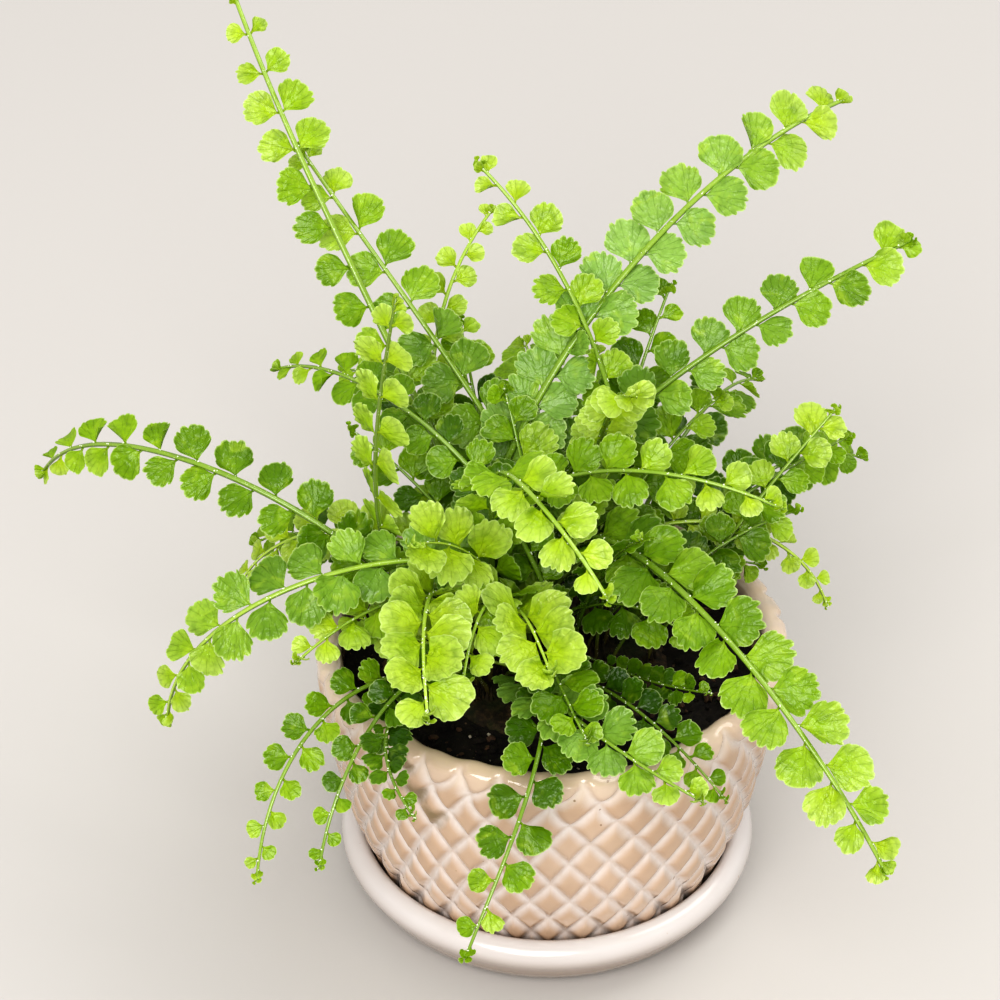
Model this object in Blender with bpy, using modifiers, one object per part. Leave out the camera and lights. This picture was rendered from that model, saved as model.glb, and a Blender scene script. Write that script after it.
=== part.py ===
# Potted lemon button fern: a small fern with a short crown, in a glazed pot on its saucer.
# Metres, +Z up.  The origin is the centre of the saucer's flat underside, where it stands.
#
# Pieces: saucer, pot, soil, crown and one object for each frond.  A frond is one leaf: a
# thin midrib (rachis) with small rounded leaflets (pinnae) standing alternately on its two
# sides.  Here each frond is a thin scalloped blade, swept along its arching midrib.

import bpy
import bmesh
from math import radians, sin, cos, pi, hypot
from mathutils import Vector, kdtree

# ---------------------------------------------------------------- driving dimensions, mm
MM = 0.001
GAP = 0.3                    # clearance kept between pieces that touch

SAUCER_LIP_R = 60.0          # outer radius of the saucer's lip
SAUCER_LIP_Z = 19.0          # height of the lip
SAUCER_FOOT_R = 49.5         # radius of the flat underside's edge
SAUCER_FLOOR_Z = 4.5         # thickness of the saucer's floor

POT_BASE_R = 48.3            # outer radius just above the foot
POT_RIM_R = 65.6             # outer radius of the rim
POT_RIM_INNER_R = 58.9       # mouth
POT_RIM_Z = 87.6             # height of the rim's top
POT_FLOOR_Z = 11.5           # top of the pot's floor
DRAIN_R = 5.0                # drain hole in the pot's floor

SOIL_Z = 74.0                # level of the soil
SOIL_RECESS_R = 33.6         # the hollow in which the crown sits
CROWN_R = 33.2               # radius of the crown, a mat of short rhizomes
CROWN_Z = 76.4               # its top
FROND_BASE_Z = 77.0          # where the stalks leave the crown

STALK_W = 0.9                # half width of a stalk and midrib
BLADE_T = 0.9                # thickness of a frond's solid
PITCH = 0.48                 # spacing of leaflets along the midrib, in leaflet lengths
REACH = 1.03                 # how far a leaflet reaches from the midrib, in leaflet lengths
CLEAR = 2.05                 # least distance from a leaflet to any other piece
TURN_STEPS = 48              # facets round the pot and saucer

# ---------------------------------------------------------------- the fronds
# name, where the stalk leaves the crown (x, y, mm), heading there (degrees from +X towards
# +Y), swing of the heading along the frond, rise at the base and at the tip (degrees above
# level), how late the bend comes (1 = evenly), length (mm), leaflet length (mm), share of
# the length over which the tip tapers, age from 0 (young, lime green) to 1 (old, deep green).
FRONDS = [
    ("frond_back_right_1", -27, 8, 37, 7, 82, -5, 1.08, 209, 12.6, 0.14, 0.6),
    ("frond_front_right_1", 0, 30, -67, 26, 87, -52, 0.68, 193, 11.8, 0.2, 0.5),
    ("frond_back_left_1", -9, 8, 142, -26, 70, 38, 0.63, 201, 11.8, 0.25, 0.45),
    ("frond_back_left_2", 12, 11, 150, -23, 76, 26, 0.67, 165, 11.6, 0.2, 0.5),
    ("frond_left_1", -20, -12, 174, -46, 61, -58, 1.34, 178, 11.4, 0.4, 0.55),
    ("frond_left_2", -3, 7, -138, -59, 74, -86, 1.15, 162, 11.6, 0.3, 0.6),
    ("frond_back_right_2", -20, 16, 4, 23, 80, 11, 0.80, 174, 11.4, 0.15, 0.6),
    ("frond_front_left_1", -21, -15, -145, 40, 46, -74, 1.23, 110, 8, 0.45, 0.4),
    ("frond_front_1", -4, -12, -82, -51, 54, -61, 0.86, 119, 9.5, 0.35, 0.65),
    ("frond_front_right_2", -13, -11, -77, 48, 69, -11, 0.47, 105, 10, 0.3, 0.65),
    ("frond_left_3", -28, 2, -160, 40, 45, 110, 0.67, 126, 10.2, 0.25, 0.3),
    ("frond_back_1", 24, 16, 128, 15, 90, 27, 1.37, 149, 9.5, 0.35, 0.45),
    ("frond_right_1", -19, 11, -44, 37, 100, -26, 1.05, 139, 10.5, 0.25, 0.55),
    ("frond_front_right_3", -1, -16, -56, 11, 67, -29, 0.67, 84, 7.5, 0.35, 0.75),
    ("frond_right_2", 27, 0, 24, 9, 59, 39, 1.02, 90, 9.5, 0.3, 0.6),
    ("frond_back_left_3", 4, -9, 154, -20, 83, -38, 1.31, 147, 8, 0.5, 0.35),
    ("frond_front_2", -17, -10, -104, 58, 98, -44, 1.65, 161, 10.5, 0.3, 0.3),
    ("frond_front_3", -28, -2, -104, 22, 85, -31, 1.06, 110, 11.5, 0.3, 0.1),
    ("frond_front_4", -13, -6, -83, 10, 86, -15, 1.05, 86, 12, 0.3, 0.15),
    ("frond_front_right_4", 10, 24, -75, 0, 88, 30, 1.80, 115, 10, 0.3, 0.15),
    ("frond_right_3", -11, 0, -4, 6, 71, 64, 1.01, 84, 8, 0.4, 0.15),
    ("frond_front_left_2", -8, -5, -142, 12, 82, 18, 1.52, 83, 12, 0.3, 0.55),
    ("frond_front_left_3", -5, -7, -154, -17, 32, 35, 0.99, 73, 7.5, 0.3, 0.1),
    ("frond_front_left_4", -17, -16, -125, 13, 62, -67, 1.14, 111, 6, 0.4, 0.2),
    ("frond_right_4", -6, 10, 8, -13, 73, -75, 1.16, 116, 5.5, 0.2, 0.5),
    ("frond_front_5", -20, -18, -132, 75, 43, -8, 1.00, 99, 5.5, 0.4, 0.8),
    ("frond_back_2", -26, 11, 118, -75, 73, 33, 0.85, 127, 6.5, 0.5, 0.15),
    ("frond_left_4", -12, 4, 175, -1, 72, -73, 1.32, 105, 9, 0.3, 0.3),
    ("frond_front_right_5", 9, 1, -60, 18, 21, 24, 1.12, 61, 5.5, 0.3, 0.85),
    ("frond_back_right_3", 9, 14, 59, 1, 79, 45, 1.08, 103, 11, 0.3, 0.78),
    ("frond_back_right_4", 6, 3, 38, -1, 79, 19, 1.21, 89, 11, 0.3, 0.78),
    ("frond_right_5", 15, 7, 19, 6, 66, 11, 0.80, 94, 10.5, 0.3, 0.78),
    ("frond_right_6", 16, -5, 18, 8, 66, 0, 1.14, 74, 10, 0.3, 0.78),
    ("frond_right_7", 10, 4, 13, -1, 63, -28, 1.23, 62, 9.5, 0.3, 0.78),
    ("frond_front_right_6", 1, 6, -39, 3, 73, -23, 1.12, 60, 10.5, 0.3, 0.78),
    ("frond_front_6", -2, -9, -90, 23, 63, -15, 0.99, 75, 10.5, 0.3, 0.78),
    ("frond_front_7", -5, -1, -116, 20, 80, -30, 1.27, 96, 11.5, 0.3, 0.78),
    ("frond_front_left_5", -16, 9, -133, -3, 67, -20, 1.01, 91, 10, 0.3, 0.78),
    ("frond_back_left_4", -18, 0, 152, 0, 56, -41, 1.06, 87, 10.5, 0.3, 0.78),
    ("frond_back_left_5", -9, 3, 156, -7, 75, 19, 1.02, 83, 10, 0.3, 0.78),
    ("frond_back_left_6", -13, 15, 108, -3, 76, 37, 1.06, 89, 11, 0.3, 0.78),
    ("frond_back_left_7", -3, 2, 114, -2, 88, 43, 1.38, 81, 11.5, 0.3, 0.78),
    ("frond_back_3", -7, 15, 65, -3, 84, 52, 1.15, 59, 11, 0.3, 0.78),
    ("frond_back_4", 5, 17, 83, 0, 72, -10, 0.89, 94, 10, 0.3, 0.78),
    ("frond_back_left_8", 1, 1, 119, -9, 73, -9, 0.75, 93, 11, 0.3, 0.78),
    ("frond_back_right_5", 13, 0, 54, -8, 88, -19, 1.52, 69, 10.5, 0.3, 0.78),
    ("frond_front_right_7", 6, -2, -58, 1, 81, 43, 1.14, 73, 10, 0.3, 0.78),
    ("frond_back_right_6", 16, 11, 60, 0, 70, -35, 1.10, 112, 11, 0.3, 0.78),
    ("frond_back_5", 0, 15, 95, 0, 72, -30, 1.10, 108, 11.5, 0.3, 0.78),
    ("frond_back_left_9", -9, 18, 125, 0, 70, -35, 1.10, 112, 11, 0.3, 0.78),
    ("frond_back_right_7", 20, 9, 35, 0, 67, -35, 1.07, 104, 10.5, 0.3, 0.78),
]

# ---------------------------------------------------------------- materials, from the photograph
COLOURS = {
    "saucer": ((0.83, 0.76, 0.72), 0.22),
    "pot": ((0.70, 0.53, 0.42), 0.25),
    "soil": ((0.045, 0.032, 0.024), 0.95),
    "crown": ((0.16, 0.10, 0.05), 0.85),
    "young_leaf": ((0.42, 0.62, 0.06), 0.50),
    "leaf": ((0.20, 0.46, 0.05), 0.50),
    "old_leaf": ((0.06, 0.24, 0.04), 0.45),
}


def material(name):
    mat = bpy.data.materials.get(name)
    if mat is None:
        colour, rough = COLOURS[name]
        mat = bpy.data.materials.new(name)
        mat.use_nodes = True
        shader = mat.node_tree.nodes["Principled BSDF"]
        shader.inputs["Base Color"].default_value = (*colour, 1.0)
        shader.inputs["Roughness"].default_value = rough
        shader.inputs["Metallic"].default_value = 0.0
        mat.diffuse_color = (*colour, 1.0)
    return mat


def add_object(name, mesh, collection, mat):
    obj = bpy.data.objects.new(name, mesh)
    collection.objects.link(obj)
    mesh.materials.append(material(mat))
    return obj


def turned(name, profile, closed, collection, mat):
    """A turned piece: profile in (radius, height) mm, down the outer side, round the Z axis."""
    mesh = bpy.data.meshes.new(name)
    verts = [(r * MM, 0.0, z * MM) for r, z in profile]
    edges = [(i, i + 1) for i in range(len(verts) - 1)]
    if closed:
        edges.append((len(verts) - 1, 0))
    mesh.from_pydata(verts, edges, [])
    obj = add_object(name, mesh, collection, mat)
    screw = obj.modifiers.new("turn", "SCREW")
    screw.axis = 'Z'
    screw.angle = 2 * pi
    screw.steps = TURN_STEPS
    screw.render_steps = TURN_STEPS
    screw.use_merge_vertices = True
    screw.merge_threshold = 0.00001
    screw.use_smooth_shade = True
    return obj


def arc(cx, cz, r, a0, a1, n):
    """Points of a small fillet, centre (cx, cz), from angle a0 to a1 in degrees."""
    return [(cx + r * cos(radians(a0 + (a1 - a0) * i / n)),
             cz + r * sin(radians(a0 + (a1 - a0) * i / n))) for i in range(n + 1)]


# ---------------------------------------------------------------- pot and saucer profiles
def saucer_profile():
    lip = (arc(SAUCER_LIP_R - 3.7, SAUCER_LIP_Z - 2.7, 2.7, 165, 100, 2)
           + arc(SAUCER_LIP_R - 2.9, SAUCER_LIP_Z - 2.9, 2.9, 80, -15, 3))
    return ([(0.0, SAUCER_FLOOR_Z), (49.2, SAUCER_FLOOR_Z), (50.7, 6.2), (52.1, 11.0)]
            + lip
            + [(58.6, 13.2), (55.6, 7.6), (52.0, 2.6), (SAUCER_FOOT_R, 0.6), (SAUCER_FOOT_R - 0.8, 0.0),
               (0.0, 0.0)])


def pot_outer():
    """The pot's side, from the rim down to the foot."""
    return [(65.3, 84.0), (POT_RIM_R, 79.5), (64.8, 70.0), (62.6, 56.0), (59.4, 38.0), (55.6, 26.0),
            (53.0, 19.0), (50.2, 10.0), (POT_BASE_R, 5.6)]


def pot_inner():
    """The inside wall, from the floor up to the mouth."""
    return [(40.5, POT_FLOOR_Z), (43.6, 13.2), (47.4, 22.0), (52.8, 38.0), (56.2, 56.0), (58.4, 72.0),
            (POT_RIM_INNER_R, 83.0)]


def pot_profile():
    foot_z = SAUCER_FLOOR_Z + GAP
    rim = arc(62.1, POT_RIM_Z - 3.2, 3.2, 180, 0, 5)
    foot = [(47.6, foot_z), (43.0, foot_z), (41.8, foot_z + 1.4), (DRAIN_R, foot_z + 1.4)]
    return rim + pot_outer() + foot + [(DRAIN_R, POT_FLOOR_Z)] + pot_inner()


def soil_profile():
    floor = POT_FLOOR_Z + GAP
    side = [(58.4 - GAP, 72.0), (56.2 - GAP, 56.0), (52.8 - GAP, 38.0), (47.4 - GAP, 22.0),
            (43.6 - GAP, 13.2 + GAP), (40.5 - GAP, floor)]
    return [(0.0, 69.3), (30.6, 69.3), (SOIL_RECESS_R, 71.6), (SOIL_RECESS_R, SOIL_Z), (45.0, SOIL_Z + 0.4),
            (55.0, SOIL_Z), (57.9, SOIL_Z - 0.6)] + side + [(0.0, floor)]


def crown_profile():
    return [(0.0, CROWN_Z), (29.4, CROWN_Z), (31.8, CROWN_Z - 0.7), (CROWN_R, SOIL_Z + 0.6),
            (CROWN_R, 71.9), (30.3, 69.6), (0.0, 69.6)]


# ---------------------------------------------------------------- frond geometry
def station(frond, points, s):
    """Midrib point, blade's side and blade's upward normal at s mm from the base."""
    name, bx, by, h0, swing, e0, e1, late, length, size, taper, age = frond
    n = len(points) - 1
    u = min(max(s / length, 0.0), 1.0)
    k = min(int(u * n), n - 1)
    t = u * n - k
    centre = points[k].lerp(points[k + 1], t)
    h = radians(h0 + swing * u ** 1.5)
    e = radians(e0 + (e1 - e0) * u ** late)
    along = Vector((cos(e) * cos(h), cos(e) * sin(h), sin(e)))
    side = Vector((sin(h), -cos(h), 0.0))
    return centre, side, side.cross(along)


def midrib(frond):
    """The midrib's points in mm, by stepping along its changing direction."""
    name, bx, by, h0, swing, e0, e1, late, length, size, taper, age = frond
    n = max(24, int(length / 2))
    points = [Vector((bx, by, FROND_BASE_Z))]
    for i in range(n):
        u = (i + 0.5) / n
        e = radians(e0 + (e1 - e0) * u ** late)
        h = radians(h0 + swing * u ** 1.5)
        points.append(points[-1] + Vector((cos(e) * cos(h), cos(e) * sin(h), sin(e))) * (length / n))
    return points


def leaflets(frond):
    """Distance along the midrib, side (+1 or -1) and length of every leaflet, base to tip."""
    name, bx, by, h0, swing, e0, e1, late, length, size, taper, age = frond
    bare = 13.0 + 0.035 * length
    s, side, out = bare, 1, []
    while True:
        u = s / length
        grown = min(1.0, 0.62 + 0.38 * (s - bare) / (0.22 * length))
        young = min(1.0, 0.30 + 0.70 * (1.0 - u) / taper)
        a = size * grown * young
        if s > length - 0.45 * a:
            break
        out.append((s, side, a))
        s += PITCH * a
        side = -side
    return out


def triangle_samples(a, b, c, step):
    """Points over a triangle, no further apart than step."""
    n = max(1, int(max((b - a).length, (c - a).length, (c - b).length) / step + 0.999))
    return [a + (b - a) * (i / n) + (c - a) * (j / n) for i in range(n + 1) for j in range(n + 1 - i)]


def wall_samples():
    """Points over the pot's upper wall and rim, which the fronds have to clear."""
    profile = [(64.8, 70.0), (POT_RIM_R, 79.5), (65.3, 84.0), (64.3, 86.8), (62.1, 87.6), (59.9, 86.8),
               (POT_RIM_INNER_R, 83.0), (58.4, 74.0)]
    rings = []
    for (r0, z0), (r1, z1) in zip(profile, profile[1:]):
        n = max(1, int(hypot(r1 - r0, z1 - z0) / 1.3))
        rings += [(r0 + (r1 - r0) * i / n, z0 + (z1 - z0) * i / n) for i in range(n)]
    return [Vector((r * cos(k * pi / 144), r * sin(k * pi / 144), z)) for r, z in rings for k in range(288)]


def plan_fronds():
    """Settle each leaflet's reach and its tilt so that no two pieces touch."""
    ribs = [midrib(f) for f in FRONDS]
    fixed, owner = [], []
    for i, points in enumerate(ribs):
        for a, b in zip(points, points[1:]):
            fixed += [a, (a + b) / 2]
            owner += [i, i]
    for p in wall_samples():
        fixed.append(p)
        owner.append(-1)
    still = kdtree.KDTree(len(fixed))
    for i, p in enumerate(fixed):
        still.insert(p, i)
    still.balance()

    tries = [(1.0, 8), (1.0, 24), (1.0, -10), (0.85, 8), (0.85, 32), (0.85, -22), (0.7, 8), (0.7, 38),
             (0.7, -28), (0.55, 8), (0.55, 42), (0.55, -32), (0.4, 8), (0.4, 40)]
    grown, plans = [], []
    tree = kdtree.KDTree(1)
    tree.insert(Vector((0, 0, -1000)), 0)
    tree.balance()
    for i, frond in enumerate(FRONDS):
        plan, mine = [], []
        for s, side, a in leaflets(frond):
            step = PITCH * a
            back, _, _ = station(frond, ribs[i], s - step)
            ahead, _, _ = station(frond, ribs[i], s + step)
            centre, out, up = station(frond, ribs[i], s)
            chosen = (0.0, 0)
            for share, tilt in tries:
                reach = a * REACH * share
                if reach < STALK_W * 1.8:
                    break
                tip = centre + out * (side * reach * cos(radians(tilt))) + up * (reach * sin(radians(tilt)))
                points = triangle_samples(back, tip, ahead, 1.2)
                clear = True
                for p in points:
                    r = hypot(p.x, p.y)
                    if p.z < SOIL_Z + 2.2 and r < 62.0 or p.z < CROWN_Z + 1.6 and r < CROWN_R + 1.6:
                        clear = False
                    elif p.z < 4.0 or (p.z < SAUCER_LIP_Z + 2.0 and r < SAUCER_LIP_R + 2.0):
                        clear = False
                    elif any(owner[k] != i for _, k, _ in still.find_range(p, CLEAR)):
                        clear = False
                    elif tree.find_range(p, CLEAR):
                        clear = False
                    if not clear:
                        break
                if clear:
                    chosen = (reach, tilt)
                    mine += points
                    break
            plan.append((s, side, chosen[0], chosen[1]))
        plans.append(plan)
        grown += mine
        tree = kdtree.KDTree(len(grown) + 1)
        tree.insert(Vector((0, 0, -1000)), 0)
        for k, p in enumerate(grown):
            tree.insert(p, k)
        tree.balance()
    return ribs, plans


def frond_blade(frond, points, plan):
    """The frond's blade as an open sheet: two edge points at each station along the midrib."""
    length = frond[8]
    first = plan[0][0] if plan else length
    rows = []
    stalk = max(2, int((first - 3.0) / 9.0) + 1)
    for k in range(stalk):
        rows.append(((first - 3.0) * k / (stalk - 1), STALK_W, STALK_W, 0, 0))
    kept = [reach > STALK_W for _, _, reach, _ in plan]
    for k, (s, side, reach, tilt) in enumerate(plan):
        if not kept[k]:
            beside = (k > 0 and kept[k - 1]) or (k + 1 < len(plan) and kept[k + 1])
            if beside or s - rows[-1][0] > 8.0:
                rows.append((s, STALK_W, STALK_W, 0, 0))
            continue
        if side > 0:
            rows.append((s, STALK_W, reach, 0, tilt))
        else:
            rows.append((s, reach, STALK_W, tilt, 0))
    rows.append((length, STALK_W * 0.8, STALK_W * 0.8, 0, 0))
    mesh = bmesh.new()
    left, right = [], []
    for s, wl, wr, tl, tr in rows:
        centre, out, up = station(frond, points, s)
        left.append(mesh.verts.new((centre - out * (wl * cos(radians(tl))) + up * (wl * sin(radians(tl)))) * MM))
        right.append(mesh.verts.new((centre + out * (wr * cos(radians(tr))) + up * (wr * sin(radians(tr)))) * MM))
    for k in range(len(rows) - 1):
        l0, r0, l1, r1 = left[k], right[k], left[k + 1], right[k + 1]
        if (l0.co - r1.co).length <= (r0.co - l1.co).length:
            mesh.faces.new((l0, r0, r1))
            mesh.faces.new((l0, r1, l1))
        else:
            mesh.faces.new((l0, r0, l1))
            mesh.faces.new((r0, r1, l1))
    return mesh


def build():
    for obj in list(bpy.data.objects):
        bpy.data.objects.remove(obj, do_unlink=True)
    collection = bpy.data.collections.new("potted_lemon_button_fern")
    bpy.context.scene.collection.children.link(collection)

    turned("saucer", saucer_profile(), False, collection, "saucer")
    turned("pot", pot_profile(), True, collection, "pot")
    turned("soil", soil_profile(), False, collection, "soil")
    turned("crown", crown_profile(), False, collection, "crown")

    ribs, plans = plan_fronds()
    for frond, points, plan in zip(FRONDS, ribs, plans):
        blade = frond_blade(frond, points, plan)
        mesh = bpy.data.meshes.new(frond[0])
        blade.to_mesh(mesh)
        blade.free()
        age = frond[11]
        shade = "old_leaf" if age > 0.7 else ("leaf" if age > 0.33 else "young_leaf")
        obj = add_object(frond[0], mesh, collection, shade)
        shell = obj.modifiers.new("thickness", "SOLIDIFY")
        shell.thickness = BLADE_T * MM
        shell.offset = 0.0
        shell.use_even_offset = False


build()
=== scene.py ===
import bpy
import numpy as np
from math import radians, sin, cos, pi, hypot
from mathutils import Vector, Matrix
from mathutils.bvhtree import BVHTree


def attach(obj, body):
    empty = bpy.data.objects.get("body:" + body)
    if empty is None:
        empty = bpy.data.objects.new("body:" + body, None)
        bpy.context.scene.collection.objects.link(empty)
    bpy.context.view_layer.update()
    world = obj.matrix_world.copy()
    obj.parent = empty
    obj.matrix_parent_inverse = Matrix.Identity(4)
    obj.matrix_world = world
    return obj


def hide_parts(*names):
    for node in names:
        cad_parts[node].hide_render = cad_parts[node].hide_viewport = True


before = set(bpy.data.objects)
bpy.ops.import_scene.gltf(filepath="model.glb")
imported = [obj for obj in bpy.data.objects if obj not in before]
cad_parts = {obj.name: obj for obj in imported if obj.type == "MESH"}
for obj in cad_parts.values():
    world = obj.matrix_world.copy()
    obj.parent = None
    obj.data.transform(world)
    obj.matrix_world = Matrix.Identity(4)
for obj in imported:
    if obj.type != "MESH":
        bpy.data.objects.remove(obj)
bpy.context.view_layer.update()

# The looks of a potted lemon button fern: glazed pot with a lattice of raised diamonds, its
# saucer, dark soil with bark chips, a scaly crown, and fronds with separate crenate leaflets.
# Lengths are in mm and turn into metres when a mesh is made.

MM = 0.001

# ---------------------------------------------------------------- driving dimensions, as in the CAD
SAUCER_LIP_R = 60.0
SAUCER_LIP_Z = 19.0
SAUCER_FOOT_R = 49.5
SAUCER_FLOOR_Z = 4.5
POT_RIM_R = 65.6
POT_RIM_INNER_R = 58.9
POT_RIM_Z = 87.6
POT_FLOOR_Z = 11.5
DRAIN_R = 5.0
GAP = 0.3
SOIL_Z = 74.0
CROWN_R = 33.2
CROWN_Z = 76.4
FROND_BASE_Z = 77.0
PITCH = 0.48

# name, stalk base x, y, heading, swing, rise at base and tip, how late it bends, length,
# leaflet length, share of the length over which the tip tapers, age (0 lime, 1 deep green)
FRONDS = [
    ("frond_back_right_1", -27, 8, 37, 7, 82, -5, 1.08, 209, 12.6, 0.14, 0.6),
    ("frond_front_right_1", 0, 30, -67, 26, 87, -52, 0.68, 193, 11.8, 0.2, 0.5),
    ("frond_back_left_1", -9, 8, 142, -26, 70, 38, 0.63, 201, 11.8, 0.25, 0.45),
    ("frond_back_left_2", 12, 11, 150, -23, 76, 26, 0.67, 165, 11.6, 0.2, 0.5),
    ("frond_left_1", -20, -12, 174, -46, 61, -58, 1.34, 178, 11.4, 0.4, 0.55),
    ("frond_left_2", -3, 7, -138, -59, 74, -86, 1.15, 162, 11.6, 0.3, 0.6),
    ("frond_back_right_2", -20, 16, 4, 23, 80, 11, 0.80, 174, 11.4, 0.15, 0.6),
    ("frond_front_left_1", -21, -15, -145, 40, 46, -74, 1.23, 110, 8, 0.45, 0.4),
    ("frond_front_1", -4, -12, -82, -51, 54, -61, 0.86, 119, 9.5, 0.35, 0.65),
    ("frond_front_right_2", -13, -11, -77, 48, 69, -11, 0.47, 105, 10, 0.3, 0.65),
    ("frond_left_3", -28, 2, -160, 40, 45, 110, 0.67, 126, 10.2, 0.25, 0.3),
    ("frond_back_1", 24, 16, 128, 15, 90, 27, 1.37, 149, 9.5, 0.35, 0.45),
    ("frond_right_1", -19, 11, -44, 37, 100, -26, 1.05, 139, 10.5, 0.25, 0.55),
    ("frond_front_right_3", -1, -16, -56, 11, 67, -29, 0.67, 84, 7.5, 0.35, 0.75),
    ("frond_right_2", 27, 0, 24, 9, 59, 39, 1.02, 90, 9.5, 0.3, 0.6),
    ("frond_back_left_3", 4, -9, 154, -20, 83, -38, 1.31, 147, 8, 0.5, 0.35),
    ("frond_front_2", -17, -10, -104, 58, 98, -44, 1.65, 161, 10.5, 0.3, 0.3),
    ("frond_front_3", -28, -2, -104, 22, 85, -31, 1.06, 110, 11.5, 0.3, 0.1),
    ("frond_front_4", -13, -6, -83, 10, 86, -15, 1.05, 86, 12, 0.3, 0.15),
    ("frond_front_right_4", 10, 24, -75, 0, 88, 30, 1.80, 115, 10, 0.3, 0.15),
    ("frond_right_3", -11, 0, -4, 6, 71, 64, 1.01, 84, 8, 0.4, 0.15),
    ("frond_front_left_2", -8, -5, -142, 12, 82, 18, 1.52, 83, 12, 0.3, 0.55),
    ("frond_front_left_3", -5, -7, -154, -17, 32, 35, 0.99, 73, 7.5, 0.3, 0.1),
    ("frond_front_left_4", -17, -16, -125, 13, 62, -67, 1.14, 111, 6, 0.4, 0.2),
    ("frond_right_4", -6, 10, 8, -13, 73, -75, 1.16, 116, 5.5, 0.2, 0.5),
    ("frond_front_5", -20, -18, -132, 75, 43, -8, 1.00, 99, 5.5, 0.4, 0.8),
    ("frond_back_2", -26, 11, 118, -75, 73, 33, 0.85, 127, 6.5, 0.5, 0.15),
    ("frond_left_4", -12, 4, 175, -1, 72, -73, 1.32, 105, 9, 0.3, 0.3),
    ("frond_front_right_5", 9, 1, -60, 18, 21, 24, 1.12, 61, 5.5, 0.3, 0.85),
    ("frond_back_right_3", 9, 14, 59, 1, 79, 45, 1.08, 103, 11, 0.3, 0.78),
    ("frond_back_right_4", 6, 3, 38, -1, 79, 19, 1.21, 89, 11, 0.3, 0.78),
    ("frond_right_5", 15, 7, 19, 6, 66, 11, 0.80, 94, 10.5, 0.3, 0.78),
    ("frond_right_6", 16, -5, 18, 8, 66, 0, 1.14, 74, 10, 0.3, 0.78),
    ("frond_right_7", 10, 4, 13, -1, 63, -28, 1.23, 62, 9.5, 0.3, 0.78),
    ("frond_front_right_6", 1, 6, -39, 3, 73, -23, 1.12, 60, 10.5, 0.3, 0.78),
    ("frond_front_6", -2, -9, -90, 23, 63, -15, 0.99, 75, 10.5, 0.3, 0.78),
    ("frond_front_7", -5, -1, -116, 20, 80, -30, 1.27, 96, 11.5, 0.3, 0.78),
    ("frond_front_left_5", -16, 9, -133, -3, 67, -20, 1.01, 91, 10, 0.3, 0.78),
    ("frond_back_left_4", -18, 0, 152, 0, 56, -41, 1.06, 87, 10.5, 0.3, 0.78),
    ("frond_back_left_5", -9, 3, 156, -7, 75, 19, 1.02, 83, 10, 0.3, 0.78),
    ("frond_back_left_6", -13, 15, 108, -3, 76, 37, 1.06, 89, 11, 0.3, 0.78),
    ("frond_back_left_7", -3, 2, 114, -2, 88, 43, 1.38, 81, 11.5, 0.3, 0.78),
    ("frond_back_3", -7, 15, 65, -3, 84, 52, 1.15, 59, 11, 0.3, 0.78),
    ("frond_back_4", 5, 17, 83, 0, 72, -10, 0.89, 94, 10, 0.3, 0.78),
    ("frond_back_left_8", 1, 1, 119, -9, 73, -9, 0.75, 93, 11, 0.3, 0.78),
    ("frond_back_right_5", 13, 0, 54, -8, 88, -19, 1.52, 69, 10.5, 0.3, 0.78),
    ("frond_front_right_7", 6, -2, -58, 1, 81, 43, 1.14, 73, 10, 0.3, 0.78),
    ("frond_back_right_6", 16, 11, 60, 0, 70, -35, 1.10, 112, 11, 0.3, 0.78),
    ("frond_back_5", 0, 15, 95, 0, 72, -30, 1.10, 108, 11.5, 0.3, 0.78),
    ("frond_back_left_9", -9, 18, 125, 0, 70, -35, 1.10, 112, 11, 0.3, 0.78),
    ("frond_back_right_7", 20, 9, 35, 0, 67, -35, 1.07, 104, 10.5, 0.3, 0.78),
]

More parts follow.
